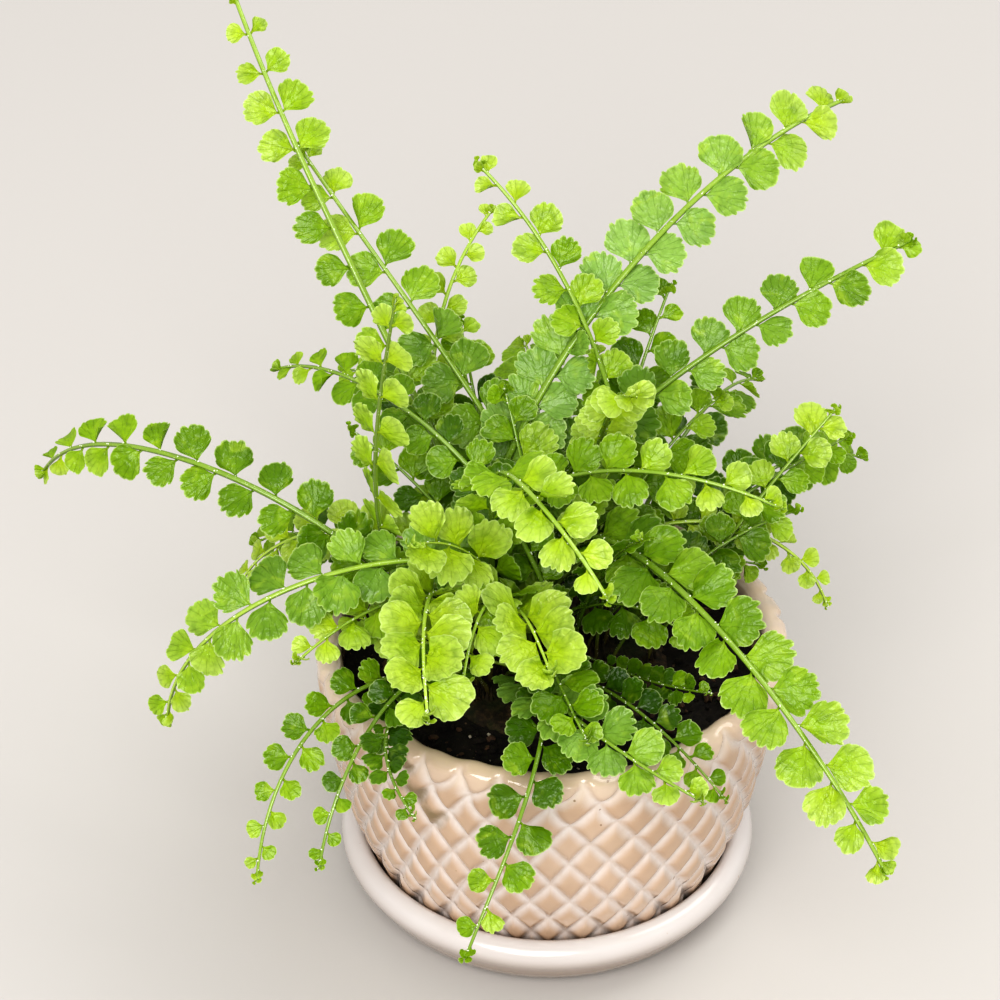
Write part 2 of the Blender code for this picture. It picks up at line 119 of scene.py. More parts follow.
# What some fronds do differently.  gap: distance between leaflets on one side, in mm.  meet: a
# place along the midrib where a leaflet sits on its right side.  offset: how far the left ones
# are shifted from the right ones.  stretch: how much the gap grows towards the tip.  lean:
# angle between midrib and leaflet.  twist: turn of a leaflet about its own midvein.  lift: how far
# the leaflets are raised from the frond's plane.  turn: how far the plane may roll to the light.
# free: how far a leaflet may turn about its own midvein to the light, in radians.
# skip: places and sides without a leaflet.  bloom: greyness.  tone: added to the age; it also holds painted light
# and shade, lightening some fronds that lie in shade and darkening others.  stem: the same for its midrib alone.
# tufts: how many times the usual number of pale scales it has.
HABIT = {
    "frond_back_left_1": dict(gap=12.0, meet=188.4, offset=0.0, lean=66, share=0.90,
                              skip=((140.4, 1), (128.4, 1), (116.4, 1), (104.4, 1), (92.4, 1)), tone=0.05),
    "frond_back_left_2": dict(gap=12.8, meet=148, offset=-1.5, lean=62, share=0.98, bloom=0.2, tone=0.10),
    "frond_back_right_1": dict(gap=11.6, meet=139, offset=-5.0, stretch=0.9, lean=52, share=0.99, taper=0.10,
                                bloom=0.8, tone=-0.10),
    "frond_back_right_2": dict(gap=11.3, meet=136, offset=-5.6, lean=50, share=0.97, taper=0.08, bloom=0.3,
                                tone=0.13, skip=((157, -1),)),
    "frond_front_right_1": dict(gap=12.0, meet=141.5, offset=7.0, lean=58, share=1.10, bloom=0.12, tone=0.06),
    "frond_front_1": dict(gap=12.2, meet=85, offset=-5.0, lean=62, share=1.04, tone=0.12),
    "frond_left_2": dict(gap=10.7, meet=123.5, offset=-5.5, lean=60, share=1.02, turn=1.6, free=0.5, bloom=0.35,
                         tone=0.02, stem=-0.3),
    "frond_left_1": dict(gap=12.4, meet=130.5, offset=-6.5, lean=60, share=0.97, turn=1.6, free=1.0, tone=0.04),
    "frond_left_3": dict(gap=10.6, offset=1.0, lean=66, taper=0.12, tone=-0.08),
    "frond_front_2": dict(gap=11.0, lean=60, taper=0.16, share=1.04, tone=0.06),
    "frond_front_3": dict(gap=9.4, lean=56, taper=0.10, share=1.12, lift=16, free=0.7, tone=-0.10, tufts=4),
    "frond_front_4": dict(gap=9.6, lean=56, taper=0.08, share=1.12, lift=14, free=0.7, tone=-0.12),
    "frond_front_right_4": dict(gap=7.0, lean=72, taper=0.12, twist=-55, share=0.95, free=0.6, tone=-0.38),
    "frond_front_left_2": dict(gap=10.2, lean=60, taper=0.12, share=1.08, turn=1.8, free=0.8, tone=-0.66),
    "frond_front_left_3": dict(share=1.1, free=0.5, tone=-0.34),
    "frond_front_5": dict(gap=7.0, share=1.3, tone=0.18),
    "frond_back_2": dict(gap=8.4, lean=58, taper=0.2, share=1.15, tone=0.03),
    "frond_back_1": dict(gap=11.2, lean=58, taper=0.2, share=1.06, tone=0.03),
    "frond_back_left_3": dict(gap=9.4, lean=58, taper=0.25, share=1.15, tone=0.34),
    "frond_front_left_1": dict(gap=9.6, lean=60, share=0.98, tone=0.22),
    "frond_front_left_4": dict(gap=9.8, lean=60, share=1.2, tone=0.62),
    "frond_right_1": dict(gap=11.2, lean=60, tone=-0.05),
    "frond_right_2": dict(gap=9.6, lean=56, taper=0.12, tone=-0.10),
    "frond_front_right_2": dict(gap=10.4, lean=56, share=1.12, bloom=0.6, tone=-0.05),
    "frond_front_right_3": dict(share=1.1, tone=0.10),
    "frond_right_4": dict(gap=8.0, lean=60, share=1.15, turn=1.4, free=0.8, tone=-0.62),
    "frond_left_4": dict(tone=-0.45),
    "frond_front_7": dict(tone=-0.55),
    "frond_front_left_5": dict(tone=-0.45),
}
LIGHT_FROM = (0.02, -0.68, 0.73)          # leaflets turn their faces this way


# ---------------------------------------------------------------- small helpers
def smooth(a, b, x):
    t = np.clip((x - a) / (b - a), 0.0, 1.0)
    return t * t * (3.0 - 2.0 * t)


def unit(v):
    return v / np.linalg.norm(v)


def curve_through(points, steps):
    """A smooth line (Catmull-Rom) through 2D points, with steps parts between neighbours."""
    p = np.array([2 * np.array(points[0]) - np.array(points[1])] + [np.array(q) for q in points]
                 + [2 * np.array(points[-1]) - np.array(points[-2])], float)
    out = []
    for i in range(1, len(p) - 2):
        a, b, c, d = p[i - 1], p[i], p[i + 1], p[i + 2]
        for k in range(steps):
            t = k / steps
            out.append(0.5 * (2 * b + (c - a) * t + (2 * a - 5 * b + 4 * c - d) * t * t
                              + (3 * b - a - 3 * c + d) * t ** 3))
    out.append(p[-2])
    return np.array(out)


def make_piece(name, verts, tris, mats, index=None, uvs=None, rim=None, flat=None):
    """One mesh object.  verts in mm, tris as corner triples, index the material of each
    triangle, uvs name to a pair for each vertex, rim a flag for vertices on a sharp edge."""
    verts = np.asarray(verts, np.float64)
    tris = np.asarray(tris, np.int64)
    n = len(tris)
    mesh = bpy.data.meshes.new(name)
    mesh.vertices.add(len(verts))
    mesh.vertices.foreach_set("co", (verts * MM).ravel())
    mesh.loops.add(3 * n)
    mesh.loops.foreach_set("vertex_index", tris.ravel())
    mesh.polygons.add(n)
    mesh.polygons.foreach_set("loop_start", np.arange(0, 3 * n, 3))
    mesh.polygons.foreach_set("use_smooth", np.ones(n, bool) if flat is None else ~np.asarray(flat))
    if index is not None:
        mesh.polygons.foreach_set("material_index", np.asarray(index, np.int64))
    for uv_name, values in (uvs or {}).items():
        layer = mesh.uv_layers.new(name=uv_name)
        layer.uv.foreach_set("vector", np.asarray(values, np.float64)[tris.ravel()].ravel())
    mesh.update(calc_edges=True)
    if rim is not None:
        ends = np.empty(2 * len(mesh.edges), np.int64)
        mesh.edges.foreach_get("vertices", ends)
        ends = ends.reshape(-1, 2)
        rim = np.asarray(rim, bool)
        mesh.edges.foreach_set("use_edge_sharp", rim[ends[:, 0]] & rim[ends[:, 1]])
    obj = bpy.data.objects.new(name, mesh)
    bpy.context.scene.collection.objects.link(obj)
    for mat in mats:
        mesh.materials.append(mat)
    return obj


def lathe(profile, columns, closed):
    """Vertices and triangles of a turned surface.  profile runs down the outer side."""
    rows = len(profile)
    angle = np.arange(columns) * 2 * pi / columns
    r = np.array([p[0] for p in profile])[:, None]
    z = np.array([p[1] for p in profile])[:, None]
    verts = np.stack([r * np.cos(angle), r * np.sin(angle), z + 0 * angle], -1).reshape(-1, 3)
    tris = []
    last = rows if closed else rows - 1
    for j in range(last):
        a = j * columns + np.arange(columns)
        b = ((j + 1) % rows) * columns + np.arange(columns)
        a2, b2 = np.roll(a, -1), np.roll(b, -1)
        tris.append(np.stack([a, b, b2], 1))
        tris.append(np.stack([a, b2, a2], 1))
    return verts, np.concatenate(tris)


# ---------------------------------------------------------------- node helpers for materials
def new_material(name):
    mat = bpy.data.materials.new(name)
    mat.use_nodes = True
    nodes, links = mat.node_tree.nodes, mat.node_tree.links
    nodes.clear()
    out = nodes.new("ShaderNodeOutputMaterial")
    shader = nodes.new("ShaderNodeBsdfPrincipled")
    links.new(shader.outputs["BSDF"], out.inputs["Surface"])
    return mat, nodes, links, shader, out


def put(links, target, value):
    if hasattr(value, "is_linked") or hasattr(value, "links"):
        links.new(value, target)
    else:
        target.default_value = value


def math_node(nodes, links, op, a, b=None, clamp=False):
    n = nodes.new("ShaderNodeMath")
    n.operation = op
    n.use_clamp = clamp
    put(links, n.inputs[0], a)
    if b is not None:
        put(links, n.inputs[1], b)
    return n.outputs[0]


def remap(nodes, links, value, a, b, lo=0.0, hi=1.0, kind="SMOOTHSTEP"):
    n = nodes.new("ShaderNodeMapRange")
    n.interpolation_type = kind
    put(links, n.inputs["Value"], value)
    n.inputs["From Min"].default_value = a
    n.inputs["From Max"].default_value = b
    n.inputs["To Min"].default_value = lo
    n.inputs["To Max"].default_value = hi
    return n.outputs["Result"]


def mix_colour(nodes, links, factor, a, b, mode="MIX"):
    n = nodes.new("ShaderNodeMix")
    n.data_type = "RGBA"
    n.blend_type = mode
    put(links, n.inputs["Factor"], factor)
    colour_in = [s for s in n.inputs if s.type == "RGBA"]
    for socket, value in zip(colour_in, (a, b)):
        if isinstance(value, tuple):
            socket.default_value = (*value, 1.0)
        else:
            links.new(value, socket)
    return [s for s in n.outputs if s.type == "RGBA"][0]


def noise_node(nodes, links, vector, scale, detail=3.0, rough=0.5, out="Fac", distortion=0.0):
    n = nodes.new("ShaderNodeTexNoise")
    n.inputs["Scale"].default_value = scale
    n.inputs["Detail"].default_value = detail
    n.inputs["Roughness"].default_value = rough
    n.inputs["Distortion"].default_value = distortion
    links.new(vector, n.inputs["Vector"])
    return n.outputs[out]


def ramp(nodes, links, factor, stops):
    n = nodes.new("ShaderNodeValToRGB")
    e = n.color_ramp.elements
    while len(e) < len(stops):
        e.new(0.5)
    for el, (pos, colour) in zip(e, stops):
        el.position = pos
        el.color = (*colour, 1.0)
    links.new(factor, n.inputs["Fac"])
    return n.outputs["Color"]


def bump(nodes, links, shader, height, distance, strength=1.0, below=None):
    n = nodes.new("ShaderNodeBump")
    n.inputs["Distance"].default_value = distance
    n.inputs["Strength"].default_value = strength
    links.new(height, n.inputs["Height"])
    if below is not None:
        links.new(below, n.inputs["Normal"])
    links.new(n.outputs["Normal"], shader.inputs["Normal"])
    return n.outputs["Normal"]


def uv_node(nodes, links, name):
    n = nodes.new("ShaderNodeUVMap")
    n.uv_map = name
    s = nodes.new("ShaderNodeSeparateXYZ")
    links.new(n.outputs["UV"], s.inputs[0])
    return s.outputs["X"], s.outputs["Y"]


# ---------------------------------------------------------------- leaf and midrib materials
# colours from young lime to old deep green; the two oldest stops are also darkened, painted shade for the old fronds
# deep inside the plant
LEAF_STOPS = [
    (0.00, (0.58, 0.75, 0.026)),
    (0.28, (0.440, 0.645, 0.014)),
    (0.52, (0.308, 0.508, 0.008)),
    (0.76, (0.150, 0.298, 0.002)),
    (1.00, (0.036, 0.112, 0.001)),
]


def leaf_material():
    mat, nodes, links, shader, out = new_material("fern_leaflet")
    tooth, rho = uv_node(nodes, links, "leaf")
    chance, age = uv_node(nodes, links, "shade")
    place = nodes.new("ShaderNodeTexCoord").outputs["Object"]

    # age with a little drift inside a leaflet and between leaflets
    drift = noise_node(nodes, links, place, 95.0, 2.0)
    tone = math_node(nodes, links, "ADD", age, math_node(nodes, links, "MULTIPLY",
                     math_node(nodes, links, "SUBTRACT", drift, 0.5), 0.22))
    tone = math_node(nodes, links, "ADD", tone, math_node(nodes, links, "MULTIPLY",
                     math_node(nodes, links, "SUBTRACT", chance, 0.5), 0.28))
    # paler towards the base of the fan
    tone = math_node(nodes, links, "SUBTRACT", tone, remap(nodes, links, rho, 0.0, 0.45, 0.10, 0.0), clamp=True)
    base = ramp(nodes, links, tone, LEAF_STOPS)

    # young ones pale towards the margin
    soft = math_node(nodes, links, "MULTIPLY", remap(nodes, links, rho, 0.30, 0.98, 0.0, 0.62),
                     remap(nodes, links, tone, 0.12, 0.50, 1.0, 0.0))
    base = mix_colour(nodes, links, soft, base, (0.72, 0.86, 0.27))

    # a grey bloom on some of the older, outer fronds
    bloom, unused = uv_node(nodes, links, "bloom")
    base = mix_colour(nodes, links, bloom, base, (0.42, 0.64, 0.21))

    # veins run from the foot of the fan into the teeth, and fork half way
    frac = math_node(nodes, links, "FRACT", tooth)
    off = math_node(nodes, links, "ABSOLUTE", math_node(nodes, links, "SUBTRACT", frac, 0.5))
    near = math_node(nodes, links, "MULTIPLY", off, math_node(nodes, links, "ADD", rho, 0.25))
    vein = remap(nodes, links, near, 0.01, 0.075, 1.0, 0.0)
    half = math_node(nodes, links, "FRACT", math_node(nodes, links, "MULTIPLY", tooth, 0.5))
    off2 = math_node(nodes, links, "ABSOLUTE", math_node(nodes, links, "SUBTRACT", half, 0.5))
    near2 = math_node(nodes, links, "MULTIPLY", off2, math_node(nodes, links, "ADD", rho, 0.2))
    vein2 = remap(nodes, links, near2, 0.01, 0.05, 1.0, 0.0)
    inner = remap(nodes, links, rho, 0.45, 0.65, 0.0, 1.0)
    veins = math_node(nodes, links, "ADD",
                      math_node(nodes, links, "MULTIPLY", vein, inner),
                      math_node(nodes, links, "MULTIPLY", vein2,
                                math_node(nodes, links, "SUBTRACT", 1.0, inner)), clamp=True)
    base = mix_colour(nodes, links, math_node(nodes, links, "MULTIPLY", veins,
                      remap(nodes, links, tone, 0.10, 0.50, 0.04, 0.18)), base, (0.08, 0.21, 0.003))
    # fine mottling of the tissue, then larger patches and creases that are painted light and shade
    cell = noise_node(nodes, links, place, 900.0, 2.0)
    crease = noise_node(nodes, links, place, 260.0, 2.0, distortion=0.8)
    base = mix_colour(nodes, links, remap(nodes, links, cell, 0.35, 0.75, 0.0, 0.16, "LINEAR"), base,
                      (0.05, 0.12, 0.003))
    patch = noise_node(nodes, links, place, 150.0, 3.0, distortion=1.2)
    # painted shade: darker patches over the blade
    base = mix_colour(nodes, links, remap(nodes, links, patch, 0.50, 0.74, 0.0, 0.36), base, (0.085, 0.22, 0.002))
    # painted sheen: paler patches over the blade
    base = mix_colour(nodes, links, remap(nodes, links, patch, 0.47, 0.25, 0.0, 0.42), base, (0.64, 0.81, 0.08))
    # painted shade along the creases
    base = mix_colour(nodes, links, remap(nodes, links, crease, 0.48, 0.72, 0.0, 0.22), base, (0.075, 0.20, 0.002))
    # painted highlight: a pale, thin margin, as where the edge catches the light
    edge = remap(nodes, links, rho, 0.935, 1.0, 0.0, 0.60)
    base = mix_colour(nodes, links, edge, base, (0.78, 0.90, 0.42))
    links.new(base, shader.inputs["Base Color"])
    shader.inputs["Roughness"].default_value = 0.26
    shader.inputs["Specular IOR Level"].default_value = 0.56

    height = math_node(nodes, links, "ADD", math_node(nodes, links, "MULTIPLY", veins, -0.22),
                       math_node(nodes, links, "MULTIPLY", cell, 0.25))
    height = math_node(nodes, links, "ADD", height, math_node(nodes, links, "MULTIPLY", crease, 1.6))
    height = math_node(nodes, links, "ADD", height, math_node(nodes, links, "MULTIPLY", patch, 1.8))
    normal = bump(nodes, links, shader, height, 0.00045, 1.0)

    glow = nodes.new("ShaderNodeBsdfTranslucent")
    warm = mix_colour(nodes, links, 0.35, base, (0.70, 0.90, 0.03))
    links.new(warm, glow.inputs["Color"])
    mix = nodes.new("ShaderNodeMixShader")
    mix.inputs[0].default_value = 0.42
    links.new(shader.outputs[0], mix.inputs[1])
    links.new(glow.outputs[0], mix.inputs[2])
    links.new(mix.outputs[0], out.inputs["Surface"])
    return mat


def rachis_material():
    mat, nodes, links, shader, out = new_material("fern_midrib")
    along, age = uv_node(nodes, links, "shade")
    place = nodes.new("ShaderNodeTexCoord").outputs["Object"]
    drift = noise_node(nodes, links, place, 160.0, 3.0)
    tone = math_node(nodes, links, "ADD", age, math_node(nodes, links, "MULTIPLY",
                     math_node(nodes, links, "SUBTRACT", drift, 0.5), 0.35), clamp=True)
    base = ramp(nodes, links, tone, [(0.0, (0.46, 0.62, 0.08)), (0.35, (0.29, 0.44, 0.045)),
                                     (0.7, (0.165, 0.28, 0.018)), (1.0, (0.09, 0.15, 0.015))])
    # painted shade: the underside is darkened, as the shaded side of the midrib
    above, unused = uv_node(nodes, links, "leaf")
    base = mix_colour(nodes, links, remap(nodes, links, above, 0.35, -0.30, 0.0, 0.70), base, (0.055, 0.105, 0.008))
    # brown at the very base, where old scales sit
    base = mix_colour(nodes, links, remap(nodes, links, along, 0.02, 0.16, 0.75, 0.0), base, (0.14, 0.09, 0.04))
    # small pale scales along it, and a tuft of them where each leaflet springs
    tuft, unused = uv_node(nodes, links, "bloom")
    base = mix_colour(nodes, links, tuft, base, (0.82, 0.86, 0.70))
    speck = noise_node(nodes, links, place, 1500.0, 2.0)
    base = mix_colour(nodes, links, remap(nodes, links, speck, 0.64, 0.72, 0.0, 0.5), base, (0.75, 0.80, 0.55))
    links.new(base, shader.inputs["Base Color"])
    shader.inputs["Roughness"].default_value = 0.24
    shader.inputs["Specular IOR Level"].default_value = 0.85
    bump(nodes, links, shader, noise_node(nodes, links, place, 1100.0, 3.0), 0.0001, 0.4)
    return mat


LEAF = leaf_material()
RACHIS = rachis_material()


# ---------------------------------------------------------------- frond geometry
def station(frond, points, s):
    name, bx, by, h0, swing, e0, e1, late, length, size, taper, age = frond
    n = len(points) - 1
    u = min(max(s / length, 0.0), 1.0)
    k = min(int(u * n), n - 1)
    t = u * n - k
    centre = points[k] * (1 - t) + points[k + 1] * t
    h = radians(h0 + swing * u ** 1.5)
    e = radians(e0 + (e1 - e0) * u ** late)
    along = np.array((cos(e) * cos(h), cos(e) * sin(h), sin(e)))
    side = np.array((sin(h), -cos(h), 0.0))
    return centre, along, side, np.cross(side, along)


def midrib(frond):
    name, bx, by, h0, swing, e0, e1, late, length, size, taper, age = frond
    n = max(24, int(length / 2))
    points = [np.array((bx, by, FROND_BASE_Z), float)]
    for i in range(n):
        u = (i + 0.5) / n
        e = radians(e0 + (e1 - e0) * u ** late)
        h = radians(h0 + swing * u ** 1.5)
        points.append(points[-1] + np.array((cos(e) * cos(h), cos(e) * sin(h), sin(e))) * (length / n))
    return np.array(points)


def leaflets(frond):
    """Where the leaflets sit: distance along the midrib, side, length.  The last ones are
    the tiny curled buds at the growing tip."""
    name, bx, by, h0, swing, e0, e1, late, length, size, taper, age = frond
    habit = HABIT.get(name, {})
    rng = np.random.default_rng(sum(map(ord, name)))
    bare = 11.0 + 0.03 * length
    gap = habit.get("gap", 0.96 * size)
    stretch = habit.get("stretch", 0.0)
    taper = habit.get("taper", taper * 0.8)
    size = size * habit.get("share", 1.0)
    out = []
    for side in (1, -1):
        start = habit.get("meet", 0.6 * length) + (0.0 if side == 1 else habit.get("offset", -0.5 * gap))
        for way in (1, -1):
            s = start
            if way == -1:
                s -= gap * (1 + stretch * (s / length - 0.62))
            while bare < s < length - 3.4:
                u = s / length
                near = any(abs(s - at) < 4 and side == there for at, there in habit.get("skip", ()))
                young = min(1.0, 0.42 + 0.58 * (1.0 - u) / taper)
                grown = min(1.0, 0.66 + 0.34 * (s - bare) / (0.2 * length))
                if not near:
                    out.append((s + rng.uniform(-0.35, 0.35), side, size * young * grown * rng.uniform(0.93, 1.05)))
                s += way * gap * (1 + stretch * (u - 0.62)) * (1.0 if "meet" in habit else rng.uniform(0.95, 1.05))
    out.sort()
    for k in range(4):
        out.append((length - 3.2 + 1.0 * k, 1 if k % 2 else -1, -(0.36 - 0.05 * k) * min(size, 12.0)))
    return out


# ---------------------------------------------------------------- one leaflet
RHO = np.array([0.0, 0.0, 0.36, 0.66, 0.87, 1.0])


def leaf_template(teeth, cache={}):
    """How a leaflet's vertices and triangles hang together.  Rings run from the tiny stalk
    to the toothed margin; upper and lower skins share the margin, so it is closed."""
    if teeth in cache:
        return cache[teeth]
    counts = [3, 3, teeth + 1, 2 * teeth + 1, 4 * teeth + 1, 4 * teeth + 1]
    ring, t, side, rim, top, low = [], [], [], [], [], []
    for k, n in enumerate(counts):
        row = []
        for i in range(n):
            row.append(len(ring))
            ring.append(k)
            t.append(i / (n - 1))
            edge = i in (0, n - 1) or k == 5
            side.append(0.0 if edge else 1.0)
            rim.append(edge)
        top.append(row)
    for k, n in enumerate(counts):
        row = []
        for i in range(n):
            if i in (0, n - 1) or k == 5:
                row.append(top[k][i])
            else:
                row.append(len(ring))
                ring.append(k)
                t.append(i / (n - 1))
                side.append(-1.0)
                rim.append(False)
        low.append(row)

    def strip(a, b):
        na, nb, i, j, out = len(a), len(b), 0, 0, []
        if na == nb:
            for j in range(na - 1):
                if j < na // 2:
                    out += [(a[j], b[j], a[j + 1]), (a[j + 1], b[j], b[j + 1])]
                else:
                    out += [(a[j], b[j], b[j + 1]), (a[j], b[j + 1], a[j + 1])]
            return out
        while i < na - 1 or j < nb - 1:
            if i == na - 1 or (j < nb - 1 and (j + 1) / (nb - 1) <= (i + 1) / (na - 1) + 1e-9):
                out.append((a[i], b[j], b[j + 1]))
                j += 1
            else:
                out.append((a[i], b[j], a[i + 1]))
                i += 1
        return out

    tris = []
    for k in range(5):
        tris += strip(top[k], top[k + 1])
        tris += [(c, b, a) for a, b, c in strip(low[k], low[k + 1])]
    tris += [(top[0][0], top[0][1], low[0][1]), (top[0][1], top[0][2], low[0][1])]
    # a coarse upper skin, to feel for neighbours
    foot, mid, end = top[1][1], top[3], top[5][::2]
    feel = [(foot, mid[i], mid[i + 1]) for i in range(len(mid) - 1)]
    for i in range(len(mid) - 1):
        feel += [(mid[i], end[i], end[i + 1]), (mid[i], end[i + 1], mid[i + 1])]
    used = [foot] + mid + end
    where = {v: i for i, v in enumerate(used)}
    feel = [tuple(where[v] for v in f) for f in feel]
    cache[teeth] = (np.array(ring), np.array(t), np.array(side), np.array(rim), np.array(tris),
                    np.array(used), feel)
    return cache[teeth]


def leaf_shape(teeth, a, p):
    """A leaflet's vertices in its own frame: x along its midvein from the midrib, y towards
    the frond's tip, z up from its upper face."""
    ring, t, side, rim, tris, used, feel = leaf_template(teeth)
    rho = RHO[ring]
    theta = -p["tb"] + np.interp(t * teeth, np.arange(teeth + 1), p["slip"]) * (p["ta"] + p["tb"])
    limit = np.where(theta > 0, p["ta"], p["tb"])
    reach = 1.0 - p["k"] * np.abs(theta / limit) ** p["n"]
    tooth = np.abs(np.sin(pi * t * teeth)) ** 0.38
    notch = p["notch"][np.round(t * teeth).astype(int)]
    lobe = p["lobe"][np.minimum((t * teeth).astype(int), teeth - 1)]
    strength = np.choose(ring, [0, 0, 0, 0.10, 0.5, 1.0])
    reach = reach * (1.0 - strength * p["deep"] * notch * (1.0 - tooth)) * (1.0 + strength * lobe * tooth ** 2)
    stalk = p["stalk"]
    blade = a - stalk
    x = stalk + blade * reach * rho * np.cos(theta)
    y = blade * reach * rho * np.sin(theta)
    x = np.where(ring == 0, -0.35, np.where(ring == 1, stalk, x))
    y = np.where(ring <= 1, (t - 0.5) * (0.7 if a > 6 else 0.5), y)
    xx, yy = (x - stalk) / a, y / a
    h = p["fold"] * (np.sqrt(yy * yy + 0.004) - 0.063) + p["cup"] * rho ** 2 * 0.5 * (0.35 + yy * yy * 2.6)
    h = h + p["ripple"] * rho ** 2 * np.cos(2 * pi * t * teeth)
    h = h + p["wave"] * rho ** 1.5 * np.sin(p["turns"] * theta + p["phase"])
    h = h - p["droop"] * np.clip(xx, 0, 2) ** 2
    roll = np.clip((t - 0.62) / 0.38, 0, 1) if p["curl"] > 0 else np.clip((0.38 - t) / 0.38, 0, 1)
    lift = abs(p["curl"]) * roll ** 1.5 * rho
    h = h + lift
    y = y - np.sign(y) * lift * a * 0.6
    h = np.where(ring <= 1, 0.0, h)
    if p["hook"]:
        # curled over towards the midrib, as unopened ones are
        bend = p["hook"] * np.clip(xx, 0, 1.2)
        x, h = stalk + a * np.sin(bend) / p["hook"], h * np.cos(bend) + (1 - np.cos(bend)) / p["hook"]
        x = np.where(ring == 0, -0.35, np.where(ring == 1, stalk, x))
        h = np.where(ring <= 1, 0.0, h)
    thick = np.choose(ring, [0.5, 0.42, 0.34, 0.32, 0.30, 0.0])
    z = h * a + side * thick / 2
    return np.stack([x, y, z], 1)


def leaf_frame(centre, along, side_dir, up, sgn, radius, lean, lift, twist, drop=0.35):
    out = side_dir * sgn
    m = along * cos(lean) + out * sin(lean)
    a = along * sin(lean) - out * cos(lean)
    m, n = m * cos(lift) + up * sin(lift), up * cos(lift) - m * sin(lift)
    a, n = a * cos(twist) + n * sin(twist), n * cos(twist) - a * sin(twist)
    origin = centre + out * radius * 0.62 - up * radius * drop
    return origin, m, a, n


def rib_radius(frond, u):
    return (0.27 + 0.0041 * frond[8]) * (1.0 - 0.45 * u ** 1.4)


def rib_tube(frond, points, sides, step):
    """The midrib: a tube, grooved along its upper side, that tapers to the tip."""
    length = frond[8]
    rows = max(8, int(length / step))
    verts, shade = [], []
    for j in range(rows + 1):
        s = length * j / rows
        u = s / length
        centre, along, side, up = station(frond, points, s)
        if j == 0:
            centre = centre - np.array((0, 0, 2.6))
        r = rib_radius(frond, u) * (1.25 if j == 0 else 1.0)
        for k in range(sides):
            w = 2 * pi * k / sides
            rr = r * (0.74 if k == 0 and sides > 6 else 1.0)
            verts.append(centre + side * (rr * sin(w)) + up * (rr * cos(w)))
            shade.append((u, cos(w)))
    n = rows + 1
    tris = []
    for j in range(rows):
        for k in range(sides):
            a, b = j * sides + k, j * sides + (k + 1) % sides
            c, d = a + sides, b + sides
            tris += [(a, b, d), (a, d, c)]
    tip = len(verts)
    verts.append(points[-1] + station(frond, points, length)[1] * 0.5)
    shade.append((1, 0))
    foot = len(verts)
    verts.append(points[0] - np.array((0, 0, 3.0)))
    shade.append((0, 0))
    top = rows * sides
    for k in range(sides):
        tris.append((top + k, top + (k + 1) % sides, tip))
        tris.append((foot, (k + 1) % sides, k))
    return np.array(verts), np.array(tris), np.array(shade, float)


def scale_tufts(frond, points, rng, places, times):
    """Tiny pale scales on the midrib's upper side, beside the foot of each leaflet."""
    verts, tris = [], []
    corner = np.array([(1, 0, 0), (-1, 0, 0), (0, 1, 0), (0, -1, 0), (0, 0, 1), (0, 0, -1)], float)
    face = np.array([(0, 2, 4), (2, 1, 4), (1, 3, 4), (3, 0, 4), (2, 0, 5), (1, 2, 5), (3, 1, 5), (0, 3, 5)])
    for s, sgn in places:
        if rng.random() < 0.25:
            continue
        for k in range(rng.integers(1, 3) * times):
            centre, along, side, up = station(frond, points, s + rng.uniform(-0.7, 0.9) * times)
            r = rib_radius(frond, s / frond[8])
            w = sgn * rng.uniform(0.2, 1.1)
            spot = centre + (side * sin(w) + up * cos(w)) * r * 0.98
            size = rng.uniform(0.16, 0.30)
            shape = corner * size * rng.uniform(0.7, 1.5, 3)
            base = len(verts) * 6
            verts.append(spot + shape[:, :1] * along + shape[:, 1:2] * side + shape[:, 2:] * up)
            tris.append(face + base)
    if not verts:
        return np.zeros((0, 3)), np.zeros((0, 3), int)
    return np.concatenate(verts), np.concatenate(tris)


def teeth_for(a):
    return 8 if a > 11.2 else 7 if a > 8.6 else 6 if a > 6 else 5


# tries for a leaflet that would touch another piece: lift, twist, lean (degrees), share of size
TRIES = [(0, 0, 0, 1), (9, 0, 0, 1), (-9, 0, 0, 1), (18, -5, 0, 1), (-18, 5, 0, 1), (0, 14, 5, 1), (4, -14, -5, 1),
         (27, 0, 0, 0.95), (-26, 0, 0, 0.95), (12, 10, 8, 0.88), (36, 0, 0, 0.88), (-34, 0, 0, 0.85),
         (10, 20, 0, 0.78), (-8, -20, 0, 0.78), (46, 0, 0, 0.72), (0, 0, 0, 0.66), (22, 10, 10, 0.6),
         (-24, -8, 0, 0.55), (0, 0, 0, 0.45)]


